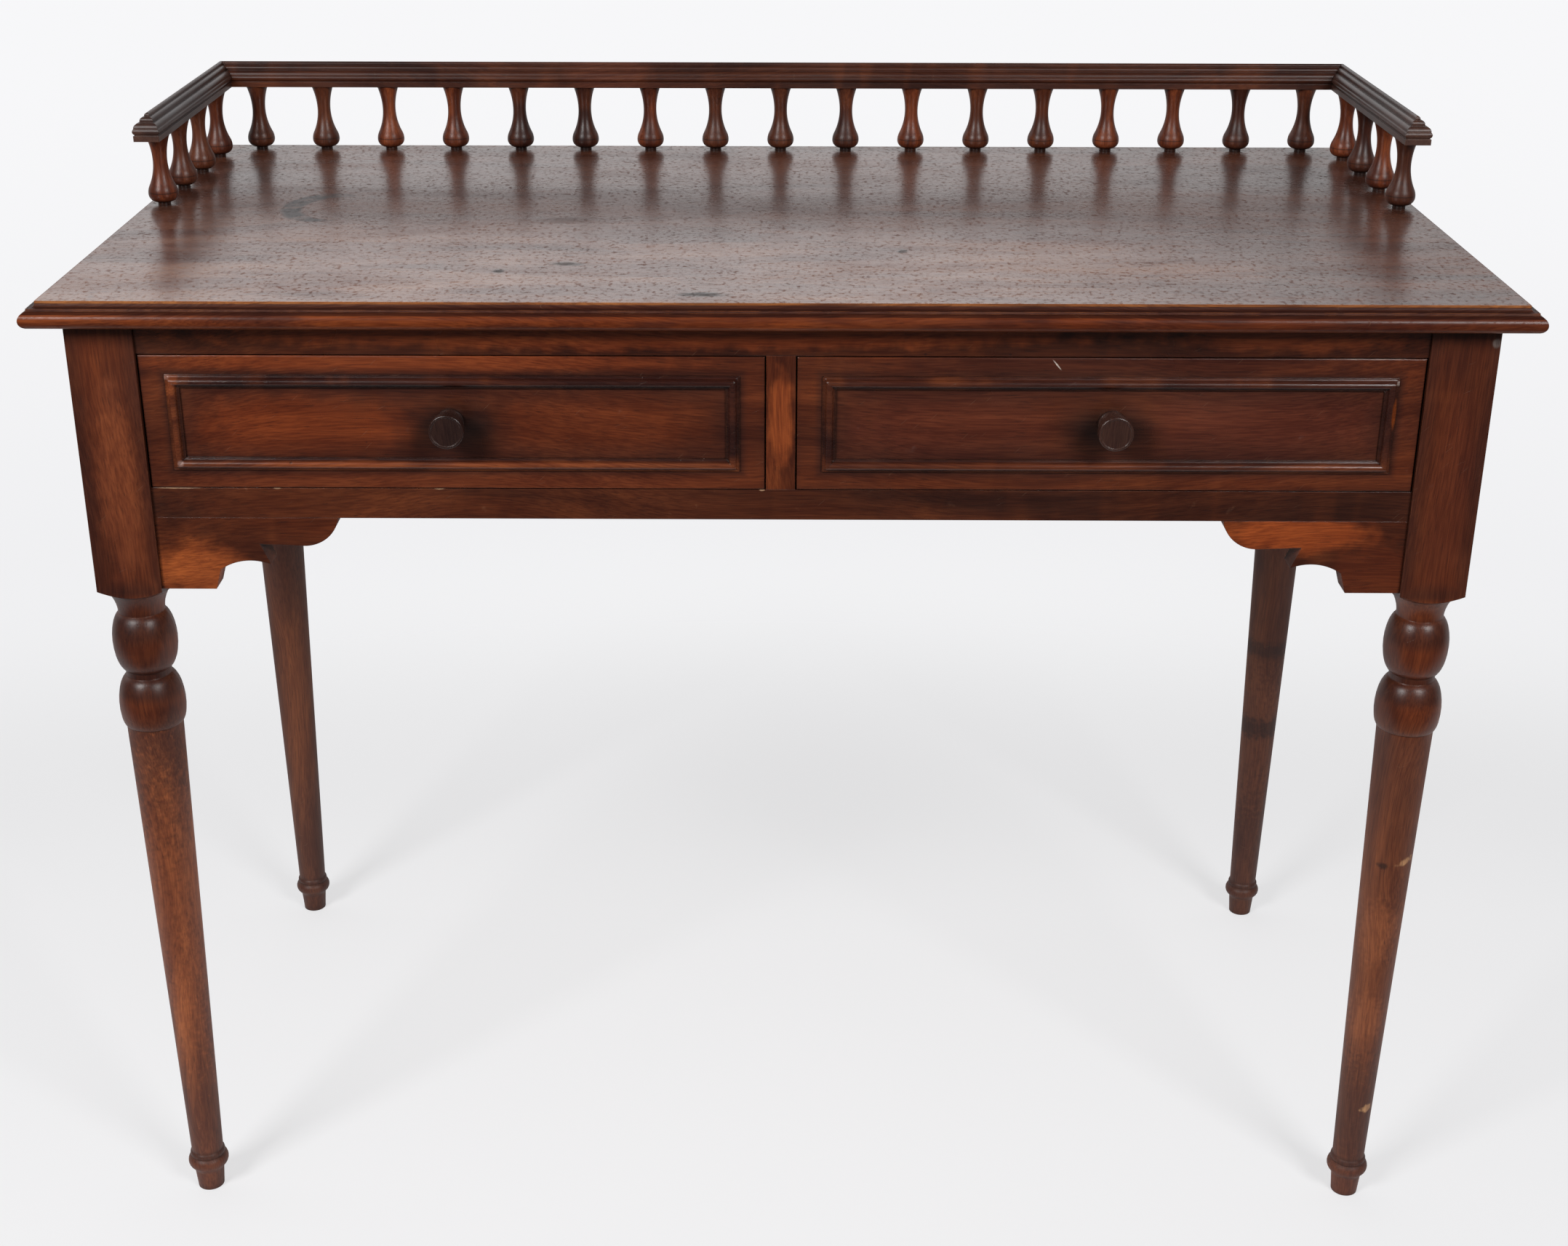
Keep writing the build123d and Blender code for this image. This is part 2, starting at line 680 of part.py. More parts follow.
for name, side in (("drawer_left", -1), ("drawer_right", 1)):
    middle = side * drawer_x
    knob_x = middle + side * knob_outset
    front_x = (middle - drawer_width / 2, middle + drawer_width / 2)
    groove_x = (middle - inner_half - bottom_groove, middle + inner_half + bottom_groove)

    with BuildPart() as drawer_front:
        block(front_x, (rail_front, front_inside), (drawer_floor, drawer_front_top))
        fillet(drawer_front.faces().sort_by(Axis.Y)[0].edges(), front_edge_round)
        block(
            grown(groove_x, glue_gap), (front_inside - bottom_groove, front_inside), groove_z,
            mode=Mode.SUBTRACT,
        )
        for outer, inward in ((front_x[0], 1), (front_x[1], -1)):
            with BuildSketch(edge_view(0, 0, outer)):
                tails(play=glue_gap)
            extrude(amount=-inward * (drawer_side_thick + glue_gap), mode=Mode.SUBTRACT)
        with BuildSketch(front_view(knob_x, rail_front, knob_z)):
            Circle(spigot_radius + glue_gap)
        extrude(amount=-front_thick, mode=Mode.SUBTRACT)
    drawer_front.part.label = f"{name}_front"
    export_step(drawer_front.part, f"parts/{name}_front.step")

    for side_name, outer, inward in (("side_left", front_x[0], 1), ("side_right", front_x[1], -1)):
        inner = outer + inward * drawer_side_thick
        with BuildPart() as drawer_side:
            block((outer, inner), (front_inside, drawer_rear), (drawer_floor, drawer_side_top))
            with BuildSketch(edge_view(0, 0, outer)):
                tails(play=0.0)
            extrude(amount=-inward * drawer_side_thick)
            block(
                (inner - inward * bottom_groove, inner),
                (front_inside - tail_length, drawer_rear), groove_z, mode=Mode.SUBTRACT,
            )
            block(
                (inner - inward * back_housing, inner), grown(back_y, glue_gap),
                (bottom_top, drawer_side_top), mode=Mode.SUBTRACT,
            )
        drawer_side.part.label = f"{name}_{side_name}"
        export_step(drawer_side.part, f"parts/{name}_{side_name}.step")

    with BuildPart() as drawer_back:
        housed = back_housing - glue_gap
        block(
            (middle - inner_half - housed, middle + inner_half + housed), back_y,
            (bottom_top + glue_gap, drawer_side_top - drawer_back_drop),
        )
    drawer_back.part.label = f"{name}_back"
    export_step(drawer_back.part, f"parts/{name}_back.step")

    with BuildPart() as drawer_bottom:
        block(
            grown(groove_x, -glue_gap), (front_inside - bottom_groove + glue_gap, back_y[1]),
            (bottom_under, bottom_top),
        )
    drawer_bottom.part.label = f"{name}_bottom"
    export_step(drawer_bottom.part, f"parts/{name}_bottom.step")

    # Four strips, mitred at the corners, on the face of the drawer front
    run_half = drawer_width / 2 - bead_side_margin - bead_width / 2
    run_rise = (drawer_front_top - drawer_floor) / 2 - bead_top_margin - bead_width / 2
    with BuildPart() as bead_frame:
        with BuildLine(front_view(middle, rail_front, front_middle)) as run:
            Polyline(
                (0, -run_rise), (run_half, -run_rise), (run_half, run_rise),
                (-run_half, run_rise), (-run_half, -run_rise), (0, -run_rise),
            )
        strip_start = Plane(
            origin=(middle, rail_front, front_middle - run_rise), x_dir=(0, 0, 1),
            z_dir=(1, 0, 0),
        )
        with BuildSketch(strip_start):
            with BuildLine():
                bead_outline()
            make_face()
        sweep(path=run.wire(), transition=Transition.RIGHT)
        for across in (-1, 1):
            for up in (-1, 1):
                saw = Plane(
                    origin=(middle + across * run_half, rail_front, front_middle + up * run_rise),
                    x_dir=(across, 0, up), z_dir=(0, -1, 0),
                )
                with BuildSketch(saw):
                    Rectangle(4 * bead_width, glue_gap)
                extrude(amount=bead_proud, mode=Mode.SUBTRACT)
    bead_frame.part.label = f"{name}_bead_frame"
    export_step(bead_frame.part, f"parts/{name}_bead_frame.step")

    with BuildPart() as knob:
        with BuildSketch(edge_view(rail_front, knob_z, knob_x)):
            with BuildLine():
                head_back = knob_proud - knob_head_thick
                neck = (knob_neck_place, knob_neck_radius)
                rim_start = knob_proud - knob_edge_round
                recess = knob_proud - knob_rim_height
                rim_inner = knob_radius - knob_edge_round - knob_rim_width
                Polyline(
                    (-front_thick, 0), (-front_thick, spigot_radius), (0, spigot_radius),
                    (0, knob_base_radius), (knob_base_thick, knob_base_radius),
                )
                TangentArc(neck, (knob_base_thick, knob_base_radius), tangent=(-1, 0))
                TangentArc(neck, (head_back, knob_radius - knob_edge_round), tangent=(1, 0))
                TangentArc(
                    (head_back + knob_edge_round, knob_radius),
                    (head_back, knob_radius - knob_edge_round), tangent=(-1, 0),
                )
                Line((head_back + knob_edge_round, knob_radius), (rim_start, knob_radius))
                TangentArc(
                    (rim_start, knob_radius), (knob_proud, knob_radius - knob_edge_round),
                    tangent=(1, 0),
                )
                Polyline(
                    (knob_proud, knob_radius - knob_edge_round),
                    (knob_proud, rim_inner), (recess, rim_inner - knob_rim_height),
                    (recess, 0), (-front_thick, 0),
                )
            make_face()
        revolve(axis=Axis((knob_x, rail_front, knob_z), (0, 1, 0)))
    knob.part.label = f"{name}_knob"
    export_step(knob.part, f"parts/{name}_knob.step")

# --------------------------------------------------------------------------
# Runners with guides, kickers above the drawers, and stops on the lower rail
# --------------------------------------------------------------------------
run_y = (rail_rear, back_apron_inner)
between_legs = (front_leg_rear, back_leg_fore)
ledge_z = (opening_floor - ledge_thick, opening_floor)
guide_z = (opening_floor, opening_floor + guide_height)
side_reach = drawer_side_gap + drawer_side_thick + ledge_cover
guide_play = drawer_side_gap - guide_gap

for side_name, side in (("left", -1), ("right", 1)):
    with BuildPart() as runner:
        block((side * (leg_inner - side_reach), side * leg_inner), run_y, ledge_z)
        block((side * leg_inner, side * side_apron_inner), between_legs, ledge_z)
        block(
            (side * (leg_inner - guide_play), side * side_apron_inner), between_legs, guide_z
        )
    runner.part.label = f"runner_{side_name}"
    export_step(runner.part, f"parts/runner_{side_name}.step")

with BuildPart() as centre_runner:
    block(grown((-divider_width / 2, divider_width / 2), side_reach), run_y, ledge_z)
    block(grown((-divider_width / 2, divider_width / 2), guide_play), run_y, guide_z)
centre_runner.part.label = "centre_runner"
export_step(centre_runner.part, "parts/centre_runner.step")

with BuildPart() as kickers:
    for middle in (-leg_inner + kicker_width / 2, 0, leg_inner - kicker_width / 2):
        block(grown((middle, middle), kicker_width / 2), run_y, (opening_top, top_under))
kickers.part.label = "kickers"
export_step(kickers.part, "parts/kickers.step")

with BuildPart() as drawer_stops:
    stop_y = (front_inside + run_gap, front_inside + run_gap + stop_depth)
    for drawer_middle in (-drawer_x, drawer_x):
        for offset in (-stop_spacing / 2, stop_spacing / 2):
            middle = drawer_middle + offset
            block(
                grown((middle, middle), stop_length / 2), stop_y,
                (opening_floor, opening_floor + stop_thick),
            )
drawer_stops.part.label = "drawer_stops"
export_step(drawer_stops.part, "parts/drawer_stops.step")
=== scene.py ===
# %% [markdown]
# # An old writing table: two drawers, turned legs and a spindle gallery
#
# The joiner's work is already done: every board, leg, spindle and knob comes in
# as a finished solid, in metres, with +Z up and the front towards -Y. This
# script does the polisher's work. It stains, glazes, varnishes and ages each
# kind of wood, then sets the table on a pale floor under soft lamps.

# %% Load the table
import bpy
import json
from math import radians
from mathutils import Matrix, Vector

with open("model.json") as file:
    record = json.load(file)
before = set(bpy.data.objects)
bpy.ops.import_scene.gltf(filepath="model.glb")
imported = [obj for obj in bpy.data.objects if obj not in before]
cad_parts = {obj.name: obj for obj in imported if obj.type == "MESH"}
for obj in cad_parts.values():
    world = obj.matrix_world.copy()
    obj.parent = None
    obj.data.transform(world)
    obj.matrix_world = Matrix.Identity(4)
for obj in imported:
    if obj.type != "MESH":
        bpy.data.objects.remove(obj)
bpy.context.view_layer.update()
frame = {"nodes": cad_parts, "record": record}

bpy.ops.object.select_all(action="DESELECT")

# %% [markdown]
# ## The camera
#
# A camera in Blender looks along its own -Z, with +Y up in the picture. Three
# turns aim it: upright by a quarter turn less the tilt, a turn about the
# vertical, and a hair of roll. They could be typed in as Euler angles, but a
# product of three plain rotations keeps each one readable. A small lens shift
# moves the picture without changing the perspective.

# %% Camera
camera_spot = Vector((-0.00458, -1.68241, 1.15014))
camera_turn = radians(0.328)
camera_tilt = radians(-23.413)
camera_roll = radians(0.088)

lens = bpy.data.cameras.new("camera")
lens.sensor_width = 36.0
lens.lens = 49.76
lens.shift_x = 0.01394
lens.shift_y = -0.00756
lens.clip_end = 50.0
camera = bpy.data.objects.new("camera", lens)
bpy.context.scene.collection.objects.link(camera)
camera.matrix_world = (
    Matrix.Translation(camera_spot)
    @ Matrix.Rotation(camera_turn, 4, "Z")
    @ Matrix.Rotation(radians(90) + camera_tilt, 4, "X")
    @ Matrix.Rotation(camera_roll, 4, "Z")
)
bpy.context.scene.camera = camera
bpy.context.scene.view_settings.view_transform = "Standard"
print("camera at", tuple(round(c, 3) for c in camera_spot))

# %% [markdown]
# ## Writing node trees in a few words
#
# Every finish below is a tree of shader nodes. Adding nodes by hand takes four
# or five lines each, so these helpers do it: one adds a node and fills its
# inputs, a few do sums, one turns a value into a soft mask, and one lays a
# colour over another, as a polisher lays one coat over the last. The others
# make the patterns that every finish needs: clouds, spots and folded
# coordinates.

# %% Helpers for node trees
def put(tree, kind, feeds=None, **settings):
    """Adds a node; feeds fills its inputs with values or with other nodes' sockets."""
    node = tree.nodes.new("ShaderNode" + kind)
    for setting, value in settings.items():
        setattr(node, setting, value)
    for socket, value in (feeds or {}).items():
        if isinstance(value, bpy.types.NodeSocket):
            tree.links.new(value, node.inputs[socket])
        else:
            node.inputs[socket].default_value = value
    return node


def sum_of(tree, operation, first, second=0.0):
    """One step of arithmetic on one or two values."""
    return put(tree, "Math", {0: first, 1: second}, operation=operation).outputs[0]


def times(tree, first, second):
    """The product of two values; of two masks, the place that both cover."""
    return sum_of(tree, "MULTIPLY", first, second)


def plus(tree, first, second):
    """The first value and the second."""
    return sum_of(tree, "ADD", first, second)


def minus(tree, first, second):
    """The first value less the second."""
    return sum_of(tree, "SUBTRACT", first, second)


def most(tree, first, second):
    """The larger of two values; of two masks, the place that either covers."""
    return sum_of(tree, "MAXIMUM", first, second)


def swing(tree, value, by):
    """Makes a noise round 0.5 swing round 0 instead, by times as far."""
    return times(tree, minus(tree, value, 0.5), by)


def off_from(tree, value, level):
    """How far a value is from a level, on either side of it."""
    return sum_of(tree, "ABSOLUTE", minus(tree, value, level))


def mask(tree, value, low, high, top=1.0):
    """0 where the value is at low, rising smoothly to top where it is at high."""
    feeds = {0: value, 1: low, 2: high, 4: top}
    return put(tree, "MapRange", feeds, interpolation_type="SMOOTHSTEP").outputs[0]


def lay(tree, share, under, over):
    """The colour over laid on the colour under, where and as much as share says."""
    return put(tree, "Mix", {0: share, 6: under, 7: over}, data_type="RGBA").outputs[2]


def stretched(tree, vector, by):
    """Coordinates multiplied, so that a pattern shrinks on each axis by that much."""
    return put(tree, "VectorMath", {0: vector, 1: by}, operation="MULTIPLY").outputs[0]


def noise(tree, vector, scale=1.0, detail=3.0, distortion=0.0):
    """Cloudy pattern between 0 and 1."""
    feeds = {"Vector": vector, "Scale": scale, "Detail": detail, "Distortion": distortion}
    return put(tree, "TexNoise", feeds).outputs[0]


def parts_of(tree, vector):
    """The x, y and z of a vector."""
    return put(tree, "SeparateXYZ", {0: vector}).outputs


def spot(tree, place, centre, size, turn=(0.0, 0.0, 0.0)):
    """1 at a centre, falling to 0 on the ellipsoid with these half widths round it."""
    feeds = {"Vector": place, "Location": centre, "Rotation": turn, "Scale": size}
    local = put(tree, "Mapping", feeds, vector_type="TEXTURE").outputs[0]
    return put(tree, "TexGradient", {0: local}, gradient_type="SPHERICAL").outputs[1]


def both_sides(tree, place, middle=(0.0, 0.0, 0.0)):
    """Coordinates folded over a middle, so that left and right share one pattern."""
    moved = put(tree, "VectorMath", {0: place, 1: middle}, operation="SUBTRACT").outputs[0]
    return put(tree, "VectorMath", {0: moved}, operation="ABSOLUTE").outputs[0]


def new_group(name, inputs, outputs):
    """Empty shader node group with typed inputs and plain value outputs."""
    group = bpy.data.node_groups.new(name, "ShaderNodeTree")
    for label, kind in inputs.items():
        group.interface.new_socket(label, in_out="INPUT", socket_type="NodeSocket" + kind)
    for label, kind in outputs.items():
        group.interface.new_socket(label, in_out="OUTPUT", socket_type="NodeSocket" + kind)
    return group, group.nodes.new("NodeGroupInput"), group.nodes.new("NodeGroupOutput")


print("helpers ready")

# %% [markdown]
# ## Grain
#
# Wood is a bundle of long fibres, so most of its patterns are long one way and
# fine the other two: broad clouds of darker and lighter wood (the figure),
# pencil-wide streaks, hair-fine fibres, and short open pores that hold dirt.
# The curl goes the other way: faint bright bands across the board, where the
# fibres dip under the surface. All of them are the same cloudy noise,
# stretched by different amounts, after one slow noise has pushed the lines up
# and down a little, because no tree grows ruler-straight. The group takes
# coordinates already turned so that their x runs along the grain, and each
# finish turns them for its piece.

# %% Group: wood grain
def build_wood_grain():
    """Figure, curl, streaks, fibres and pores of a cut board."""
    group, given, made = new_group(
        "wood_grain", {"Along": "Vector"},
        {"Figure": "Float", "Curl": "Float", "Streaks": "Float", "Fibre": "Float",
         "Pores": "Float"},
    )
    along = given.outputs["Along"]
    sway = noise(group, stretched(group, along, (3, 5, 5)), 1.0, 1.0)
    sway = swing(group, sway, 0.08)
    sway = put(group, "CombineXYZ", {1: sway, 2: sway}).outputs[0]
    along = put(group, "VectorMath", {0: along, 1: sway}, operation="ADD").outputs[0]
    figure = noise(group, stretched(group, along, (3.2, 19, 19)), 1.0, 5.0, 0.8)
    curl = noise(group, stretched(group, along, (34, 7, 7)), 1.0, 2.0, 0.3)
    streaks = noise(group, stretched(group, along, (6, 95, 95)), 1.0, 6.0, 0.35)
    fibre = noise(group, stretched(group, along, (40, 900, 900)), 1.0, 3.0)
    flecks = noise(group, stretched(group, along, (75, 1200, 1200)), 1.0, 1.0)
    group.links.new(figure, made.inputs["Figure"])
    group.links.new(curl, made.inputs["Curl"])
    group.links.new(streaks, made.inputs["Streaks"])
    group.links.new(fibre, made.inputs["Fibre"])
    group.links.new(mask(group, flecks, 0.60, 0.74), made.inputs["Pores"])
    return group


wood_grain = build_wood_grain()
print("group", wood_grain.name, "with", len(wood_grain.nodes), "nodes")

# %% [markdown]
# ## Worn edges and shaded corners
#
# Hands and dusters rub the colour off every sharp edge, and every corner lies
# in shade, which is painted into the colour as a near-black. Both could be laid
# on piece by piece, but two nodes find them: the Bevel node gives the normal
# that a softened edge would have, and where it leaves the true normal there is
# an edge; the Ambient Occlusion node says how much of the sky a point sees, and
# where that is little there is a corner. The softened normal goes out too,
# because no edge on old furniture is sharp.

# %% Group: edges and corner shade
def build_edges_and_corners():
    """Masks of the rubbed edges and of the corners where shade is painted, and the softened
    normal.
    """
    group, given, made = new_group(
        "edges_and_corners", {"Width": "Float", "Reach": "Float"},
        {"Edge": "Float", "Corner_shade": "Float", "Softened": "Vector"},
    )
    soft = put(group, "Bevel", {"Radius": given.outputs["Width"]}, samples=4).outputs[0]
    true = put(group, "NewGeometry").outputs["Normal"]
    match = put(group, "VectorMath", {0: soft, 1: true}, operation="DOT_PRODUCT").outputs["Value"]
    reach = given.outputs["Reach"]
    sky = put(group, "AmbientOcclusion", {"Distance": reach}, samples=6).outputs["AO"]
    edge = times(group, mask(group, match, 0.985, 0.86), mask(group, sky, 0.55, 0.8))
    group.links.new(edge, made.inputs["Edge"])
    # The corner mask marks where painted shade darkens corners that see little sky.
    group.links.new(mask(group, sky, 0.78, 0.20), made.inputs["Corner_shade"])
    group.links.new(soft, made.inputs["Softened"])
    return group


edges_and_corners = build_edges_and_corners()
print("group", edges_and_corners.name, "with", len(edges_and_corners.nodes), "nodes")

# %% [markdown]
# ## Shaded borders
#
# The polisher darkened each panel and each square block towards its borders
# with a toned glaze and left the middle warm. That needs the distance to a
# border. The group measures how far a point lies past a box on each axis, less
# than zero being inside. Past is the largest of the three: it is good for a
# rectangle seen from the front. Rim is the second largest: on the faces of the
# box itself it is the distance to the nearest edge, whichever face it is.

# %% Group: shaded border
def build_shaded_border():
    """How far a place lies past a box, and how near it is to an edge of the box."""
    group, given, made = new_group(
        "shaded_border", {"Place": "Vector", "Centre": "Vector", "Half": "Vector"},
        {"Past": "Float", "Rim": "Float"},
    )
    off = both_sides(group, given.outputs["Place"], given.outputs["Centre"])
    feeds = {0: off, 1: given.outputs["Half"]}
    past = put(group, "VectorMath", feeds, operation="SUBTRACT").outputs[0]
    x, y, z = parts_of(group, past)[:3]
    wide = most(group, x, y)
    thin = sum_of(group, "MINIMUM", x, y)
    group.links.new(most(group, wide, z), made.inputs["Past"])
    second = most(group, thin, sum_of(group, "MINIMUM", wide, z))
    group.links.new(second, made.inputs["Rim"])
    return group


shaded_border = build_shaded_border()
print("group", shaded_border.name, "with", len(shaded_border.nodes), "nodes")

# %% [markdown]
# ## Knocks, scratches and dull patches
#
# A century of use leaves three kinds of mark. Nicks are small round cells of a
# Voronoi pattern, of which a random few are kept. Scratches are cells too, but
# squeezed into flat discs: where a disc cuts the surface it leaves a short
# straight hairline. Two turned sets cross each other, and few are kept. Dull
# patches, where the polish is tired, are a broad noise for the roughness.

# %% Group: knocks
def build_knocks():
    """Masks of small nicks, of fine scratches and of dull patches."""
    group, given, made = new_group(
        "knocks", {"Place": "Vector"}, {"Nick": "Float", "Scratch": "Float", "Dull": "Float"},
    )
    place = given.outputs["Place"]
    cells = put(group, "TexVoronoi", {"Vector": place, "Scale": 38.0})
    chance = put(group, "SeparateColor", {0: cells.outputs["Color"]}).outputs[0]
    core = mask(group, cells.outputs["Distance"], 0.055, 0.025)
    nick = times(group, core, mask(group, chance, 0.76, 0.78))
    lines = 0.0
    for turn, kept in (((0.5, 0.4, 0.35), 0.992), ((-0.6, -0.7, -0.5), 0.994)):
        turned = put(group, "Mapping", {"Vector": place, "Rotation": turn}).outputs[0]
        discs = put(group, "TexVoronoi", {"Vector": stretched(group, turned, (14, 900, 14))})
        lot = put(group, "SeparateColor", {0: discs.outputs["Color"]}).outputs[1]
        core = mask(group, discs.outputs["Distance"], 0.34, 0.12)
        hair = times(group, core, sum_of(group, "GREATER_THAN", lot, kept))
        lines = most(group, lines, hair)
    group.links.new(nick, made.inputs["Nick"])
    group.links.new(lines, made.inputs["Scratch"])
    group.links.new(noise(group, place, 11.0, 5.0, 0.4), made.inputs["Dull"])
    return group


knocks = build_knocks()
print("group", knocks.name, "with", len(knocks.nodes), "nodes")

# %% [markdown]
# ## The old finish
#
# One recipe covers every stained piece, because one workshop finished them all
# from the same pots: a deep and a warm stain that follow the figure, and a
# brighter one in the bands of the curl. What is special to a piece is laid over
# that, as patches or by a small function that works on the colour. The fine
# grain comes after both, by multiplying, since it shows through any stain, and
# last a painted shade that darkens the corners, then what time did: rubbed
# edges, nicks and scratches. Faces that nobody sees were never stained, so a
# finish can leave a range of places bare. Colours are linear red, green and
# blue. The varnish is the shader's own specular layer; its roughness follows
# the dull patches.

# %% Stain pots
def tone(red, green, blue):
    """Linear colour with full cover."""
    return (red, green, blue, 1.0)


DEEP = tone(0.072, 0.0170, 0.0072)
WARM = tone(0.118, 0.0255, 0.0088)
BRIGHT = tone(0.175, 0.0440, 0.0140)
RUBBED = tone(0.270, 0.0800, 0.0260)
# Dark glaze of the finish, also used as painted shade in the hollows of the beads and legs.
GLAZE_AND_SHADE = tone(0.034, 0.0115, 0.0080)
# Near-black of dirt in pores, nicks, burns and joints, also used as painted shade in corners.
GRIME_AND_SHADE = tone(0.011, 0.0060, 0.0050)
CHIPPED = tone(0.420, 0.2500, 0.1500)
BARE = tone(0.300, 0.1650, 0.0800)
PALE_DENT = tone(0.350, 0.2500, 0.2100)
UPRIGHT = (0.0, radians(90), 0.0)
ALONG_X = (0.0, 0.0, 0.0)
ALONG_Y = (0.0, 0.0, radians(90))
print("stains from", DEEP[:3], "to", RUBBED[:3])


# %% Patches, bare faces and grain
def patch_on(tree, place, colour, patch, broken):
    """A local patch: its centre, half widths, tone, share and perhaps its turn."""
    centre, size, patch_tone, share, *turn = patch
    round_mask = plus(tree, spot(tree, place, centre, size, *turn), broken)
    return lay(tree, mask(tree, round_mask, 0.12, 0.62, share), colour, patch_tone)


def broken_up(tree, vector, scale=1.0):
    """Mostly below 0: added to a round mask, it tears the border of a small mark."""
    return times(tree, minus(tree, noise(tree, vector, scale, 4.0), 0.62), 1.2)


def bare_mask(tree, place, bare):
    """1 on the faces left without stain, given as an axis and a range on it."""
    axis, low, high = bare
    value = parts_of(tree, place)[axis]
    above = sum_of(tree, "GREATER_THAN", value, low)
    return times(tree, above, sum_of(tree, "LESS_THAN", value, high))


def stained(tree, grain, deep, warm, bright):
    """Broad colour of the stained wood before anything happened to it."""
    colour = lay(tree, mask(tree, grain["Figure"], 0.34, 0.66), deep, warm)
    return lay(tree, mask(tree, grain["Curl"], 0.50, 0.70, 0.30), colour, bright)


def grained(tree, grain, colour, streaky):
    """The fine grain over any colour: it dims and brightens, as wood under a stain does."""
    for pattern, low, high, share, dim, lit in (
        ("Streaks", 0.30, 0.70, streaky, tone(0.62, 0.56, 0.60), tone(1.32, 1.40, 1.32)),
        ("Fibre", 0.32, 0.68, 1.0, tone(1.20, 1.24, 1.20), tone(0.78, 0.74, 0.78)),
        ("Figure", 0.30, 0.70, 1.0, tone(0.84, 0.80, 0.84), tone(1.14, 1.16, 1.12)),
    ):
        shade = lay(tree, mask(tree, grain[pattern], low, high), dim, lit)
        feeds = {0: share, 6: colour, 7: shade}
        colour = put(tree, "Mix", feeds, data_type="RGBA", blend_type="MULTIPLY").outputs[2]
    return lay(tree, times(tree, grain["Pores"], 0.35), colour, GRIME_AND_SHADE)


print("patches, bare faces and grain ready")


# %% Relief and the recipe
def relief_of(tree, grain, marks):
    """Height of the surface: fibres and streaks stand up, pores and marks are sunk."""
    height = times(tree, grain["Fibre"], 0.20)
    height = plus(tree, height, times(tree, grain["Streaks"], 0.35))
    for sunk, deep in ((grain["Pores"], 0.25), (marks["Nick"], 1.2), (marks["Scratch"], 0.6)):
        height = minus(tree, height, times(tree, sunk, deep))
    return height


def old_finish(name, turn, deep=DEEP, warm=WARM, bright=BRIGHT, rubbed=RUBBED, rub=0.32,
               width=0.0012, reach=0.012, polish=0.22, ior=1.5, patches=(), bare=None,
               dress=None, dull=None, waxed=None, streaky=0.55, scratched=0.14, relief=0.30):
    """Stained and varnished old wood; turn brings the grain onto the x axis.

    Edges are rubbed over a width, as much as rub says, and a painted shade darkens the corners
    out as far as reach says. The roughness starts at polish. A patch is laid at a place; dress
    works on the colour, dull adds roughness, and waxed gives the share of a second glossy coat.
    """
    finish = bpy.data.materials.new(name)
    finish.use_nodes = True
    tree = finish.node_tree
    tree.nodes.clear()
    place = put(tree, "TexCoord").outputs["Object"]
    along = put(tree, "Mapping", {"Vector": place, "Rotation": turn}).outputs[0]
    grain = put(tree, "Group", {"Along": along}, node_tree=wood_grain).outputs
    feeds = {"Width": width, "Reach": reach}
    shape = put(tree, "Group", feeds, node_tree=edges_and_corners).outputs
    marks = put(tree, "Group", {"Place": place}, node_tree=knocks).outputs
    ragged = noise(tree, place, 70.0, 6.0)

    colour = stained(tree, grain, deep, warm, bright)
    broken = swing(tree, ragged, 0.7)
    for patch in patches:
        colour = patch_on(tree, place, colour, patch, broken)
    if dress:
        colour = dress(tree, place, colour, grain)
    colour = grained(tree, grain, colour, streaky)
    # Painted shade: corners that see little sky are darkened towards near-black.
    colour = lay(tree, times(tree, shape["Corner_shade"], 0.70), colour, GRIME_AND_SHADE)
    worn = times(tree, shape["Edge"], mask(tree, ragged, 0.40, 0.64, rub))
    colour = lay(tree, worn, colour, rubbed)
    colour = lay(tree, times(tree, marks["Nick"], 0.55), colour, GRIME_AND_SHADE)
    colour = lay(tree, times(tree, marks["Scratch"], scratched), colour, CHIPPED)

    rough = plus(tree, mask(tree, marks["Dull"], 0.35, 0.75, 0.10), polish)
    rough = plus(tree, rough, times(tree, worn, 0.15))
    if dull:
        rough = plus(tree, rough, dull(tree, place))
    if bare:
        left = bare_mask(tree, place, bare)
        pale = lay(tree, mask(tree, grain["Streaks"], 0.3, 0.7), BARE, tone(0.19, 0.10, 0.05))
        colour = lay(tree, left, colour, pale)
        rough = plus(tree, rough, times(tree, left, 0.40))

    feeds = {"Height": relief_of(tree, grain, marks), "Normal": shape["Softened"],
             "Strength": relief, "Distance": 0.0004}
    surface = put(tree, "Bump", feeds).outputs[0]
    feeds = {"Base Color": colour, "Roughness": rough, "Normal": surface, "IOR": ior}
    if waxed:
        feeds["Coat Weight"] = waxed(tree, place)
        feeds["Coat Roughness"] = 0.21
        feeds["Coat IOR"] = 1.75
    shader = put(tree, "BsdfPrincipled", feeds)
    tree.links.new(shader.outputs[0], put(tree, "OutputMaterial").inputs[0])
    print("finish", name, "with", len(tree.nodes), "nodes")
    return finish


finishes = {}
print("recipe ready")

# %% [markdown]
# ## The writing surface
#
# The top is one wide board. Under its waxed polish it is browner than the
# rest, paler along the front where arms rested, and marked: a grey crescent
# left by something wet, a few burns and smudges, one long scratch. The wax is
# the shader's coat, a second glossy layer over the varnish: it is what mirrors
# the light behind the table, so it is thinned in specks, in clouds and under
# every mark, and nearly gone from the moulding.

# %% Top: colour
SURFACE = 0.76


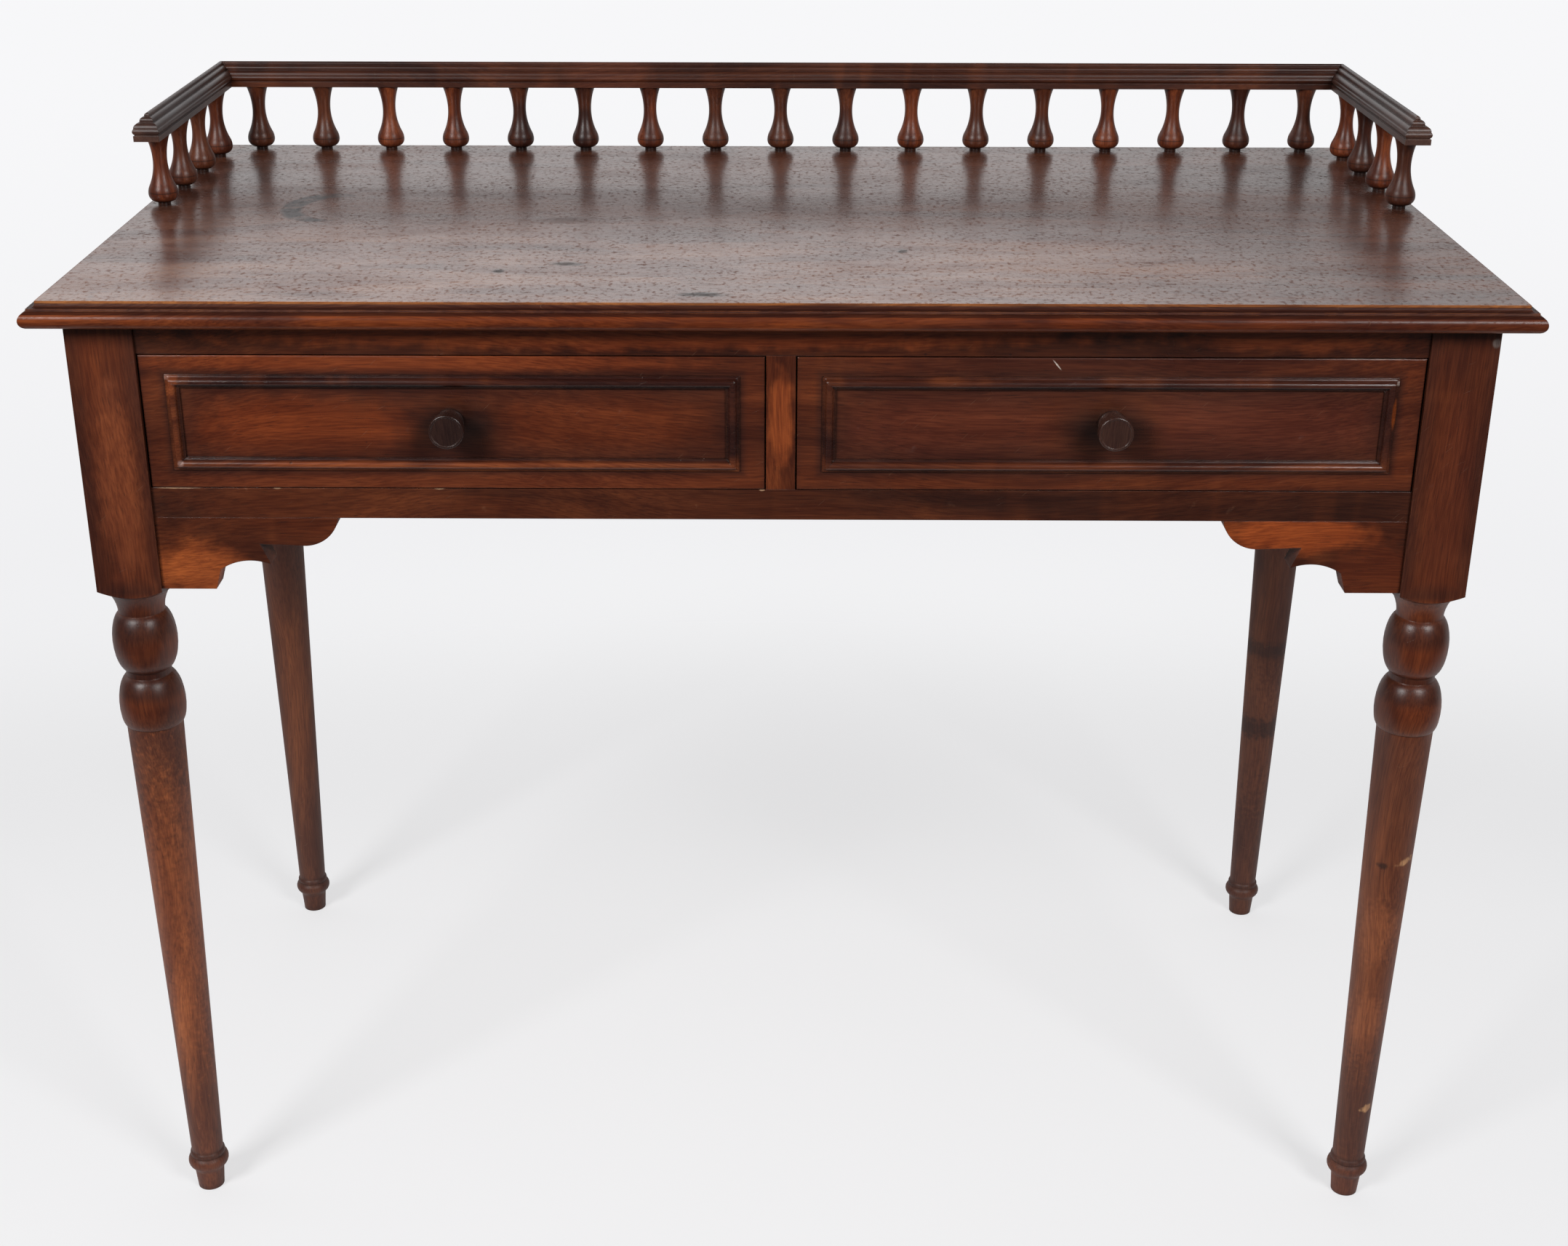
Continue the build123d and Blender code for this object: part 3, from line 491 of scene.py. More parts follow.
def worn_front(tree, place, colour):
    """Paler wood towards the front edge of the surface, in patches, and darker in the middle."""
    x, y = parts_of(tree, place)[:2]
    cloud = noise(tree, stretched(tree, place, (7, 26, 26)), 1.0, 7.0, 0.5)
    share = times(tree, mask(tree, y, 0.06, -0.16), mask(tree, cloud, 0.34, 0.62, 0.85))
    share = times(tree, share, mask(tree, x, 0.45, 0.15))
    shaded = times(tree, mask(tree, y, -0.10, 0.02), mask(tree, y, 0.20, 0.12, 0.5))
    colour = lay(tree, shaded, colour, tone(0.055, 0.0200, 0.0130))
    return lay(tree, share, colour, tone(0.270, 0.137, 0.095))


def crescent(tree, place):
    """Where the grey crescent is: one oval less another that lies a little to its right."""
    oval = spot(tree, place, (-0.362, 0.022, SURFACE), (0.036, 0.052, 0.06))
    bite = spot(tree, place, (-0.345, 0.020, SURFACE), (0.037, 0.044, 0.06))
    cloud = noise(tree, place, 90.0, 4.0)
    arc = times(tree, mask(tree, oval, 0.0, 0.12), mask(tree, bite, 0.14, 0.0))
    return times(tree, arc, mask(tree, cloud, 0.25, 0.55, 0.9))


def open_pores(tree, place, colour):
    """Short dark and pale dashes along the grain, thicker in some places than in others."""
    dashes = noise(tree, stretched(tree, place, (120, 700, 700)), 1.0, 3.0)
    cloud = noise(tree, stretched(tree, place, (5, 14, 14)), 1.0, 4.0)
    dark = times(tree, mask(tree, dashes, 0.56, 0.70), mask(tree, cloud, 0.35, 0.62, 0.85))
    colour = lay(tree, dark, colour, tone(0.028, 0.0120, 0.0085))
    return lay(tree, mask(tree, dashes, 0.42, 0.28, 0.55), colour, tone(0.230, 0.105, 0.070))


TOP_MARKS = (
    ((-0.168, -0.020, SURFACE), (0.030, 0.018, 0.02), tone(0.045, 0.018, 0.012), 0.7),
    ((-0.154, -0.155, SURFACE), (0.018, 0.0085, 0.02), GRIME_AND_SHADE, 1.0),
    ((-0.201, -0.176, SURFACE), (0.007, 0.009, 0.02), GRIME_AND_SHADE, 1.0),
    ((-0.054, -0.2375, SURFACE), (0.027, 0.0090, 0.02), GRIME_AND_SHADE, 1.0),
    ((0.089, -0.116, SURFACE), (0.006, 0.008, 0.02), GRIME_AND_SHADE, 1.0),
)
print(len(TOP_MARKS), "burns and smudges")


# %% Top: wax
FLAT_HALF_LENGTH = 0.505
FLAT_FRONT = 0.259


def past_the_flat(tree, place):
    """How far a place lies outside the flat of the writing surface, less than 0 on it."""
    x, y = parts_of(tree, place)[:2]
    sideways = minus(tree, sum_of(tree, "ABSOLUTE", x), FLAT_HALF_LENGTH)
    return most(tree, sideways, minus(tree, -FLAT_FRONT, y))


def waxed_flat(tree, place):
    """Share of wax on the top: thin in dashes, clouds and marks, nearly gone on the moulding."""
    dashes = noise(tree, stretched(tree, place, (110, 560, 560)), 1.0, 4.0)
    specks = noise(tree, stretched(tree, place, (290, 220, 220)), 1.0, 2.0)
    cloud = noise(tree, stretched(tree, place, (6, 22, 22)), 1.0, 6.0, 0.6)
    share = 1.0
    for pattern, low, high, much in (
        (dashes, 0.48, 0.70, 0.34), (cloud, 0.42, 0.68, 0.20), (specks, 0.50, 0.74, 0.85),
    ):
        share = minus(tree, share, mask(tree, pattern, low, high, much))
    gone = times(tree, crescent(tree, place), 0.55)
    broken = broken_up(tree, stretched(tree, place, (110, 300, 300)))
    for centre, size, _, much in TOP_MARKS:
        round_mask = plus(tree, spot(tree, place, centre, size), broken)
        gone = most(tree, gone, mask(tree, round_mask, 0.10, 0.60, much * 0.75))
    outside = past_the_flat(tree, place)
    gone = most(tree, gone, mask(tree, outside, 0.0, 0.002, 0.85))
    over_round = mask(tree, parts_of(tree, place)[2], 0.7530, 0.7540)
    lines = times(tree, mask(tree, outside, -0.0008, 0.0002), over_round)
    gone = most(tree, gone, lines)
    return times(tree, share, minus(tree, 1.0, gone))


print("wax on a flat", 2 * FLAT_HALF_LENGTH, "m long")

# %% [markdown]
# ## The moulded edge
#
# The edge of the top is a round below, a fillet and a cove over it, and a sharp
# arris where the flat begins. The upper members are only 2 or 3 mm high, so
# from a distance one sees mostly their light and shade, painted in here, and
# what the finish did: painted shade in the cove and on both sides of the
# fillet, a painted sheen on the fillet, a red mottled polish on the round with
# a foot painted paler as painted light, and bright wood along the arris in
# front. The masks need nothing but heights, because the members lie one above
# the other.

# %% Top: moulding
EDGE_FACE = -0.269
# Heights of the painted light on the foot of the round and of the painted shade in the cove over
# it.
LIT_ROUND_FOOT = (0.7450, 0.7428)
SHADED_COVE = (0.7536, 0.7542)
ARRIS = (0.7582, 0.7586)
# Thin painted lines on the moulding: the pale first one a painted sheen on the fillet, the dark
# two painted shade beside it.
SHADE_AND_SHEEN_LINES = (
    (0.7550, 0.0008, tone(0.092, 0.0400, 0.0300)),
    (0.7533, 0.0012, tone(0.026, 0.0080, 0.0055)),
    (0.7560, 0.0004, tone(0.030, 0.0100, 0.0070)),
)


def moulded_edge(tree, place, colour):
    """Bright arris, painted shade in the cove, painted shade and sheen in fine lines, and a
    mottled red round with a foot painted paler as painted light, on the front and sides.
    """
    x, y, z = parts_of(tree, place)[:3]
    outside = past_the_flat(tree, place)
    edge = mask(tree, outside, -0.0006, 0.0003)
    mottle = noise(tree, stretched(tree, place, (14, 70, 70)), 1.0, 5.0, 0.4)
    dark, red = tone(0.080, 0.0200, 0.0100), tone(0.165, 0.0360, 0.0105)
    round_tone = lay(tree, mask(tree, mottle, 0.34, 0.60), dark, red)
    round_tone = lay(tree, mask(tree, x, 0.22, 0.40, 0.7), round_tone, tone(0.060, 0.0150, 0.0085))
    # Painted light: the foot of the round, which faces down, is painted paler.
    foot = mask(tree, z, *LIT_ROUND_FOOT, 0.7)
    round_tone = lay(tree, foot, round_tone, tone(0.210, 0.0600, 0.0260))
    # Painted shade in the cove over the round.
    over = mask(tree, z, *SHADED_COVE, 0.85)
    round_tone = lay(tree, over, round_tone, tone(0.047, 0.0165, 0.0110))
    # Painted sheen and painted shade in thin lines across the moulding.
    for level, half, painted_line_tone in SHADE_AND_SHEEN_LINES:
        line = mask(tree, off_from(tree, z, level), half, half * 0.5, 0.8)
        round_tone = lay(tree, line, round_tone, painted_line_tone)
    colour = lay(tree, edge, colour, round_tone)
    bright = times(tree, mask(tree, outside, -0.0014, -0.0006), mask(tree, z, *ARRIS))
    bright = times(tree, bright, mask(tree, y, -0.24, -0.256))
    bright = times(tree, bright, mask(tree, mottle, 0.25, 0.5, 0.85))
    return lay(tree, bright, colour, tone(0.330, 0.115, 0.036))


def marked_top(tree, place, colour, _):
    """All that is special to the top board; no mark of it follows the grain."""
    colour = worn_front(tree, place, colour)
    colour = open_pores(tree, place, colour)
    colour = lay(tree, crescent(tree, place), colour, tone(0.034, 0.037, 0.040))
    return moulded_edge(tree, place, colour)


finishes["top_wood"] = old_finish(
    "top_wood", ALONG_X, deep=tone(0.090, 0.031, 0.018), warm=tone(0.135, 0.047, 0.027),
    bright=tone(0.170, 0.062, 0.036), polish=0.30, ior=1.15, rub=0.8, bare=(2, 0.70, 0.7421),
    streaky=0.25,
    patches=TOP_MARKS + (
        ((-0.081, -0.101, SURFACE), (0.026, 0.0007, 0.02), tone(0.30, 0.20, 0.16), 0.7,
         (0.0, 0.0, radians(71))),
        ((-0.301, -0.264, 0.750), (0.0008, 0.02, 0.02), GRIME_AND_SHADE, 0.9),
        ((-0.354, EDGE_FACE, 0.7485), (0.0035, 0.02, 0.0030), PALE_DENT, 0.7),
        ((-0.318, EDGE_FACE, 0.7485), (0.0030, 0.02, 0.0025), PALE_DENT, 0.7),
        ((-0.182, EDGE_FACE, 0.7455), (0.0035, 0.02, 0.0025), GRIME_AND_SHADE, 0.8),
        ((0.221, EDGE_FACE, 0.7468), (0.0045, 0.02, 0.0030), PALE_DENT, 0.7),
        ((0.282, EDGE_FACE, 0.7526), (0.0060, 0.02, 0.0030), GRIME_AND_SHADE, 0.8),
    ),
    dress=marked_top, waxed=waxed_flat, scratched=0.20, relief=0.24,
)

# %% [markdown]
# ## Rails and aprons
#
# The long members run with their grain along the table, the side aprons with
# theirs front to back. Their inner faces were never stained. The lower rail
# has lost chips of its upper edge to the drawers, and shows raw wood there.
# The top rail is painted brighter along its upper part, as painted light
# against the shadow that the overhang of the top casts on it.

# %% Rails and aprons
FACE = -0.2435

finishes["rail_wood"] = old_finish(
    "rail_wood", ALONG_X, deep=tone(0.040, 0.0115, 0.0060), warm=tone(0.074, 0.0175, 0.0070),
    bright=tone(0.120, 0.0300, 0.0100), rub=0.16, width=0.0008, reach=0.006,
    bare=(1, -0.1998, 0.2182),
    patches=(
        ((-0.310, FACE, 0.608), (0.170, 0.03, 0.020), tone(0.105, 0.0250, 0.0090), 0.8),
        # Painted light: these two patches brighten the top rail where the overhang of the top
        # shades it.
        ((-0.100, FACE, 0.735), (0.460, 0.03, 0.018), tone(0.270, 0.0580, 0.0160), 0.9),
        ((0.360, FACE, 0.735), (0.130, 0.03, 0.018), tone(0.190, 0.0420, 0.0130), 0.85),
        ((-0.427, FACE, 0.6205), (0.022, 0.02, 0.0013), CHIPPED, 0.8),
        ((-0.356, FACE, 0.6205), (0.004, 0.02, 0.0011), CHIPPED, 0.7),
        ((-0.241, FACE, 0.6205), (0.005, 0.02, 0.0011), CHIPPED, 0.7),
        ((-0.013, FACE, 0.6205), (0.003, 0.02, 0.0016), CHIPPED, 0.8),
    ),
)
finishes["side_wood"] = old_finish("side_wood", ALONG_Y, bare=(0, -0.4701, 0.4701))

# %% [markdown]
# ## Divider and brackets
#
# The little upright between the drawers is where hands land, so its polish is
# rubbed through to orange wood. So are the scroll brackets: the left one low
# down, the right one along its top.

# %% Divider and brackets
def sawn_edges(tree, _):
    """Extra roughness on the sawn outline, which faces neither front nor back."""
    facing = parts_of(tree, put(tree, "TexCoord").outputs["Normal"])[1]
    return mask(tree, sum_of(tree, "ABSOLUTE", facing), 0.6, 0.4, 0.45)


finishes["divider_wood"] = old_finish(
    "divider_wood", UPRIGHT, deep=tone(0.066, 0.0150, 0.0060), warm=tone(0.130, 0.0270, 0.0085),
    patches=(((0.000, FACE, 0.672), (0.0125, 0.03, 0.052), tone(0.300, 0.0680, 0.0175), 0.9),),
    bare=(1, -0.1998, 0.0),
)
finishes["bracket_wood"] = old_finish(
    "bracket_wood", ALONG_X, deep=tone(0.056, 0.0140, 0.0060), warm=tone(0.105, 0.0225, 0.0075),
    rub=0.12, width=0.0008,
    patches=(
        ((-0.417, FACE, 0.558), (0.050, 0.03, 0.032), tone(0.310, 0.0720, 0.0185), 0.9),
        ((0.365, FACE, 0.588), (0.085, 0.03, 0.022), tone(0.310, 0.0630, 0.0145), 0.9),
        ((0.425, FACE, 0.560), (0.050, 0.03, 0.030), tone(0.125, 0.0250, 0.0080), 0.7),
    ),
    dull=sawn_edges, bare=(1, -0.2237, 0.0),
)

# %% [markdown]
# ## Drawer fronts, beads and knobs
#
# The drawer fronts are the show wood. Each panel is glazed dark towards its
# bead, where no duster reaches, and is dark round its knob, partly by glaze and
# partly by a painted shadow of the knob; the left one has faded more than the
# right. The bead frames are dark, with painted light in orange along the ridge
# of the lower runs and of the left run, less on the right drawer, painted shade
# on their inner cove, and painted highlights at three mitred corners. The
# knobs are nearly black.

# %% Drawer fronts
FRONT_MIDDLE = (0.2279, -FACE, 0.6693)
PANEL_HALF = (0.1895, 9.0, 0.0254)
KNOB = (0.2275, -FACE, 0.6665)


def glazed_front(tree, place, colour, grain):
    """Glaze dark towards the bead from both sides, and dark round the knob, partly glaze and
    partly a painted shadow of the knob.
    """
    folded = both_sides(tree, place)
    feeds = {"Place": folded, "Centre": FRONT_MIDDLE, "Half": PANEL_HALF}
    past = put(tree, "Group", feeds, node_tree=shaded_border).outputs["Past"]
    drift = swing(tree, grain["Figure"], 0.03)
    panel = mask(tree, plus(tree, past, drift), -0.021, 0.003)
    glaze = sum_of(tree, "MINIMUM", panel, mask(tree, past, 0.0165, 0.0100))
    colour = lay(tree, times(tree, glaze, 0.62), colour, GLAZE_AND_SHADE)
    colour = lay(tree, mask(tree, past, 0.0225, 0.0275, 0.30), colour, GLAZE_AND_SHADE)
    # The dark round the knob is partly glaze and partly a painted shadow cast by the knob.
    knob_shadow_and_glaze = spot(tree, folded, KNOB, (0.052, 0.06, 0.027))
    return lay(tree, mask(tree, knob_shadow_and_glaze, 0.0, 0.80, 0.92), colour, tone(0.015, 0.0070, 0.0055))


finishes["drawer_front_wood"] = old_finish(
    "drawer_front_wood", ALONG_X, reach=0.006,
    patches=(
        ((-0.335, FACE, 0.665), (0.120, 0.03, 0.040), tone(0.185, 0.0350, 0.0090), 0.7),
        ((-0.130, FACE, 0.668), (0.100, 0.03, 0.040), tone(0.140, 0.0285, 0.0085), 0.7),
        ((-0.260, FACE, 0.713), (0.280, 0.03, 0.013), tone(0.205, 0.0430, 0.0125), 0.8),
        ((-0.228, FACE, 0.627), (0.300, 0.03, 0.013), tone(0.118, 0.0260, 0.0095), 0.8),
        ((0.330, FACE, 0.668), (0.140, 0.03, 0.050), tone(0.092, 0.0215, 0.0120), 0.8),
        ((0.120, FACE, 0.668), (0.120, 0.03, 0.050), tone(0.094, 0.0215, 0.0110), 0.8),
        ((0.228, FACE, 0.713), (0.280, 0.03, 0.014), tone(0.054, 0.0135, 0.0075), 0.85),
        ((0.190, FACE, 0.713), (0.0065, 0.02, 0.0007), tone(0.60, 0.50, 0.45), 0.7,
         (0.0, radians(50), 0.0)),
        ((0.404, FACE, 0.7177), (0.040, 0.02, 0.0010), tone(0.50, 0.38, 0.33), 0.25),
    ),
    dress=glazed_front, bare=(1, -0.2237, 0.3),
)


# %% Beads and knobs
BEAD_FACE = -0.2470
BEAD_HALF = (0.1940, 9.0, 0.0300)


def lit_runs_and_shaded_cove(tree, place, colour, grain):
    """Painted light in orange on the ridge of the lower and left runs, less on the right drawer,
    and painted shade on the inner cove.
    """
    folded = both_sides(tree, place)
    feeds = {"Place": folded, "Centre": FRONT_MIDDLE, "Half": BEAD_HALF}
    past = put(tree, "Group", feeds, node_tree=shaded_border).outputs["Past"]
    x, _, z = parts_of(tree, place)[:3]
    low = most(tree, mask(tree, z, 0.650, 0.640), mask(tree, x, -0.416, -0.419))
    ridge = mask(tree, off_from(tree, past, 0.0014), 0.0046, 0.0026)
    share = times(tree, low, ridge)
    share = times(tree, share, mask(tree, grain["Figure"], 0.30, 0.60, 0.85))
    share = times(tree, share, minus(tree, 1.0, mask(tree, x, 0.0, 0.05, 0.65)))
    # Painted light: orange along the ridge of the lower runs and the left run.
    colour = lay(tree, share, colour, tone(0.250, 0.0620, 0.0200))
    # Painted shade on the inner cove of the bead.
    return lay(tree, mask(tree, past, -0.0022, -0.0040, 0.55), colour, GLAZE_AND_SHADE)


finishes["bead_wood"] = old_finish(
    "bead_wood", ALONG_X, deep=tone(0.028, 0.0090, 0.0070), warm=tone(0.060, 0.0155, 0.0085),
    width=0.0012, reach=0.005, polish=0.17, dress=lit_runs_and_shaded_cove,
    patches=(
        # Painted highlights: pale spots at three mitred corners of the bead frames.
        ((-0.4260, BEAD_FACE, 0.7025), (0.0036, 0.02, 0.0030), tone(0.50, 0.38, 0.34), 0.6),
        ((0.4265, BEAD_FACE, 0.7005), (0.0030, 0.02, 0.0026), tone(0.50, 0.38, 0.34), 0.6),
        ((-0.4210, BEAD_FACE, 0.6400), (0.0035, 0.02, 0.0035), tone(0.45, 0.33, 0.29), 0.6),
        ((0.4255, BEAD_FACE, 0.6780), (0.0035, 0.02, 0.0150), tone(0.260, 0.0560, 0.0100), 0.9),
    ),
)
finishes["knob_wood"] = old_finish(
    "knob_wood", UPRIGHT, deep=tone(0.026, 0.0115, 0.0085), warm=tone(0.042, 0.0170, 0.0125),
    bright=tone(0.034, 0.0150, 0.0110), rubbed=tone(0.110, 0.065, 0.052), reach=0.004,
    rub=0.9, width=0.0005, polish=0.18, streaky=0.2,
)

# %% [markdown]
# ## Legs
#
# Turned pieces have their grain upright. The square blocks are glazed dark
# along their edges. The shafts are rubbed to a lighter, fibrous brown along
# the middle and stay dark at both ends, and the back ones, which few hands
# touch, are darker all over. The grooves of the turning are painted dark, as
# painted shade. The kicks are laid last, because they go through everything
# else: two chips and a dent on the front right leg, and two dark bands on the
# back right one. A torn border keeps them from looking painted.

# %% Legs
LEG_FACE = -0.246
LEG_MIDDLE = -0.00275
BLOCK_MIDDLE = (0.469, 0.21975, 0.6415)
BLOCK_HALF = (0.0235, 0.0235, 0.1005)
# Heights and half widths of the turned hollows, where painted shade is laid.
SHADED_HOLLOWS = ((0.5090, 0.015), (0.4605, 0.012), (0.4695, 0.006), (0.0340, 0.006))


def handled_shaft(tree, place):
    """Extra roughness of the shaft, whose polish has been handled and kicked away."""
    return mask(tree, parts_of(tree, place)[2], 0.432, 0.415, 0.16)


def turned_leg(tree, place, colour, grain):
    """Lighter shaft, painted shade in the hollows, dark borders on the square block, darker back
    legs, kicks.
    """
    x, y, z = parts_of(tree, place)[:3]
    drift = swing(tree, grain["Streaks"], 0.16)
    level = plus(tree, z, drift)
    shaft = times(tree, mask(tree, level, 0.06, 0.20), mask(tree, level, 0.42, 0.30, 0.85))
    colour = lay(tree, mask(tree, z, 0.445, 0.425, 0.6), colour, tone(0.110, 0.0350, 0.0180))
    brown, fibrous = tone(0.170, 0.0460, 0.0170), tone(0.300, 0.0850, 0.0290)
    shaft_tone = lay(tree, mask(tree, grain["Figure"], 0.36, 0.62), brown, fibrous)
    shaft_tone = lay(tree, mask(tree, x, 0.0, 0.1, 0.50), shaft_tone, tone(0.090, 0.0250, 0.0110))
    colour = lay(tree, shaft, colour, shaft_tone)
    # Painted shade: the hollows of the turning are darkened.
    sunk = 0.0
    for level, half in SHADED_HOLLOWS:
        off = off_from(tree, z, level)
        sunk = most(tree, sunk, mask(tree, off, half, half * 0.3, 0.62))
    colour = lay(tree, sunk, colour, GLAZE_AND_SHADE)
    folded = both_sides(tree, place, (0.0, LEG_MIDDLE, 0.0))
    feeds = {"Place": folded, "Centre": BLOCK_MIDDLE, "Half": BLOCK_HALF}
    rim = put(tree, "Group", feeds, node_tree=shaded_border).outputs["Rim"]
    drift = swing(tree, grain["Figure"], 0.016)
    border = mask(tree, plus(tree, rim, drift), -0.014, 0.0, 0.55)
    border = times(tree, border, mask(tree, z, 0.535, 0.541))
    colour = lay(tree, border, colour, GLAZE_AND_SHADE)
    colour = lay(tree, mask(tree, y, -0.10, 0.10, 0.60), colour, tone(0.046, 0.0150, 0.0090))
    broken = broken_up(tree, place, 260.0)
    for patch in KICKS:
        colour = patch_on(tree, place, colour, patch, broken)
    return colour


KICKS = (
    ((0.4690, -0.2225, 0.085), (0.060, 0.060, 0.120), tone(0.060, 0.0180, 0.0100), 0.6),
    ((-0.4690, -0.2225, 0.270), (0.060, 0.060, 0.230), tone(0.320, 0.0900, 0.0310), 0.65),
    ((0.4620, -0.2380, 0.255), (0.028, 0.028, 0.052), tone(0.270, 0.0820, 0.0320), 0.5),
    ((0.4640, -0.2370, 0.175), (0.028, 0.028, 0.040), tone(0.270, 0.0820, 0.0320), 0.5),
    ((0.4785, -0.2384, 0.3192), (0.012, 0.010, 0.0046), tone(0.44, 0.22, 0.10), 0.9,
     (0.0, radians(-25), 0.0)),
    ((0.4750, -0.2348, 0.0885), (0.009, 0.010, 0.0062), tone(0.46, 0.24, 0.11), 0.9,
     (0.0, radians(-30), 0.0)),
    ((0.4610, -0.2385, 0.3150), (0.010, 0.010, 0.0048), GRIME_AND_SHADE, 0.7),
    ((0.464, 0.217, 0.205), (0.070, 0.070, 0.150), tone(0.145, 0.0460, 0.0200), 0.6),
    ((0.464, 0.217, 0.2955), (0.090, 0.090, 0.016), GLAZE_AND_SHADE, 0.8),
    ((0.464, 0.217, 0.2120), (0.090, 0.090, 0.021), GLAZE_AND_SHADE, 0.8),
)
finishes["leg_wood"] = old_finish(
    "leg_wood", UPRIGHT, polish=0.32, ior=1.42, dress=turned_leg, dull=handled_shaft,
    streaky=0.40,
    patches=(
        ((-0.468, LEG_FACE, 0.620), (0.022, 0.02, 0.110), tone(0.175, 0.0440, 0.0170), 0.8),
        ((0.472, LEG_FACE, 0.620), (0.022, 0.02, 0.110), tone(0.110, 0.0245, 0.0100), 0.7),
        ((0.4895, LEG_FACE, 0.7298), (0.0040, 0.02, 0.0050), tone(0.42, 0.36, 0.34), 0.6),
    ),
)

# %% [markdown]
# ## Gallery
#
# The gallery rail is dark, with a redder mended length in the back run. Its
# spindles were turned by hand from several blanks, so some are orange and some
# nearly black: one value of a broad noise colours each whole spindle.

# %% Gallery rails
finishes["gallery_back_wood"] = old_finish(
    "gallery_back_wood", ALONG_X,
    deep=tone(0.036, 0.0100, 0.0054), warm=tone(0.066, 0.0172, 0.0078),
    patches=(((-0.150, 0.252, 0.826), (0.055, 0.03, 0.03), tone(0.105, 0.0290, 0.0150), 0.7),),
    width=0.0005, reach=0.007, polish=0.36, ior=1.42, relief=0.12,
)
finishes["gallery_side_wood"] = old_finish(
    "gallery_side_wood", ALONG_Y,
    deep=tone(0.036, 0.0150, 0.0110), warm=tone(0.066, 0.0270, 0.0180),
    bright=tone(0.110, 0.0450, 0.0280), width=0.0005, reach=0.007, polish=0.36, relief=0.12,
)


# %% Balusters
SCORED_RING = 0.7703


def each_its_own(tree, place, colour, grain):
    """A tone for each spindle, and near-black in the fine scored ring and round its foot."""
    z = parts_of(tree, place)[2]
    blank = noise(tree, stretched(tree, place, (13, 13, 0)), 1.0, 0.0)
    red, orange = tone(0.092, 0.0205, 0.0090), tone(0.195, 0.0440, 0.0150)
    light = lay(tree, mask(tree, grain["Streaks"], 0.35, 0.65), red, orange)
    colour = lay(tree, mask(tree, blank, 0.44, 0.62, 0.70), colour, light)
    ring = mask(tree, off_from(tree, z, SCORED_RING), 0.0006, 0.0002, 0.6)
    colour = lay(tree, ring, colour, GRIME_AND_SHADE)
    return lay(tree, mask(tree, z, 0.7640, 0.7605, 0.7), colour, GRIME_AND_SHADE)


finishes["baluster_wood"] = old_finish(
    "baluster_wood", UPRIGHT, deep=tone(0.040, 0.0135, 0.0085), warm=tone(0.090, 0.0250, 0.0120),
    width=0.0006, reach=0.008, polish=0.33, ior=1.36, relief=0.15, dress=each_its_own,
)

# %% [markdown]
# ## Drawer linings and runners
#
# The hidden parts are planed and left bare, as in most old work: a pale wood
# with the same grain, no varnish, and dirt only in the corners.

# %% Linings
finishes["lining_wood"] = old_finish(
    "lining_wood", ALONG_Y, deep=tone(0.290, 0.170, 0.085), warm=tone(0.430, 0.280, 0.150),
    bright=tone(0.500, 0.340, 0.190), rubbed=tone(0.520, 0.360, 0.210), polish=0.55, rub=0.3,
)

# %% [markdown]
# ## Putting the finishes on
#
# Each piece's record says which pot it was finished from. Assigning to the
# object's material slot changes the look and leaves the shape alone.

# %% Finish every piece
for part in frame["record"]["subparts"]:
    piece = frame["nodes"][part["node"]]
    for slot in piece.material_slots:
        slot.material = finishes[part["material_slot"]]

# %% [markdown]
# ## Floor, backdrop and lamps
#
# The table stands on a pale sheet that fades into white. The white hangs
# behind the table, so the polished top mirrors it at a low angle, and the room
# in front is dark, so the upright faces keep their deep red. Two soft boxes in
# front, left and right, give the twin highlights on every turned bulb and the
# soft crossed shadows on the floor. Some of the floor's white is its own, for
# the camera alone, so that it stays pale without more light on the table. The
# sheet lies a hair under the feet, so that the two don't share a plane, and it
# ends short of the camera, where it would only brighten the drawer fronts.

# %% Floor
paper_wide, paper_deep = 7.0, 6.0
paper_middle = 1.2
hair_under = 0.0005

bpy.ops.mesh.primitive_grid_add(x_subdivisions=8, y_subdivisions=8, size=1.0)
floor = bpy.context.active_object
floor.name = "floor"
for corner in floor.data.vertices:
    corner.co.x *= paper_wide
    corner.co.y = corner.co.y * paper_deep + paper_middle
    corner.co.z = -hair_under


def seen_directly(tree):
    """1 for what the camera sees itself, 0 in reflections and for light on the table."""
    path = put(tree, "LightPath").outputs
    return most(tree, path["Is Camera Ray"], path["Is Transmission Ray"])


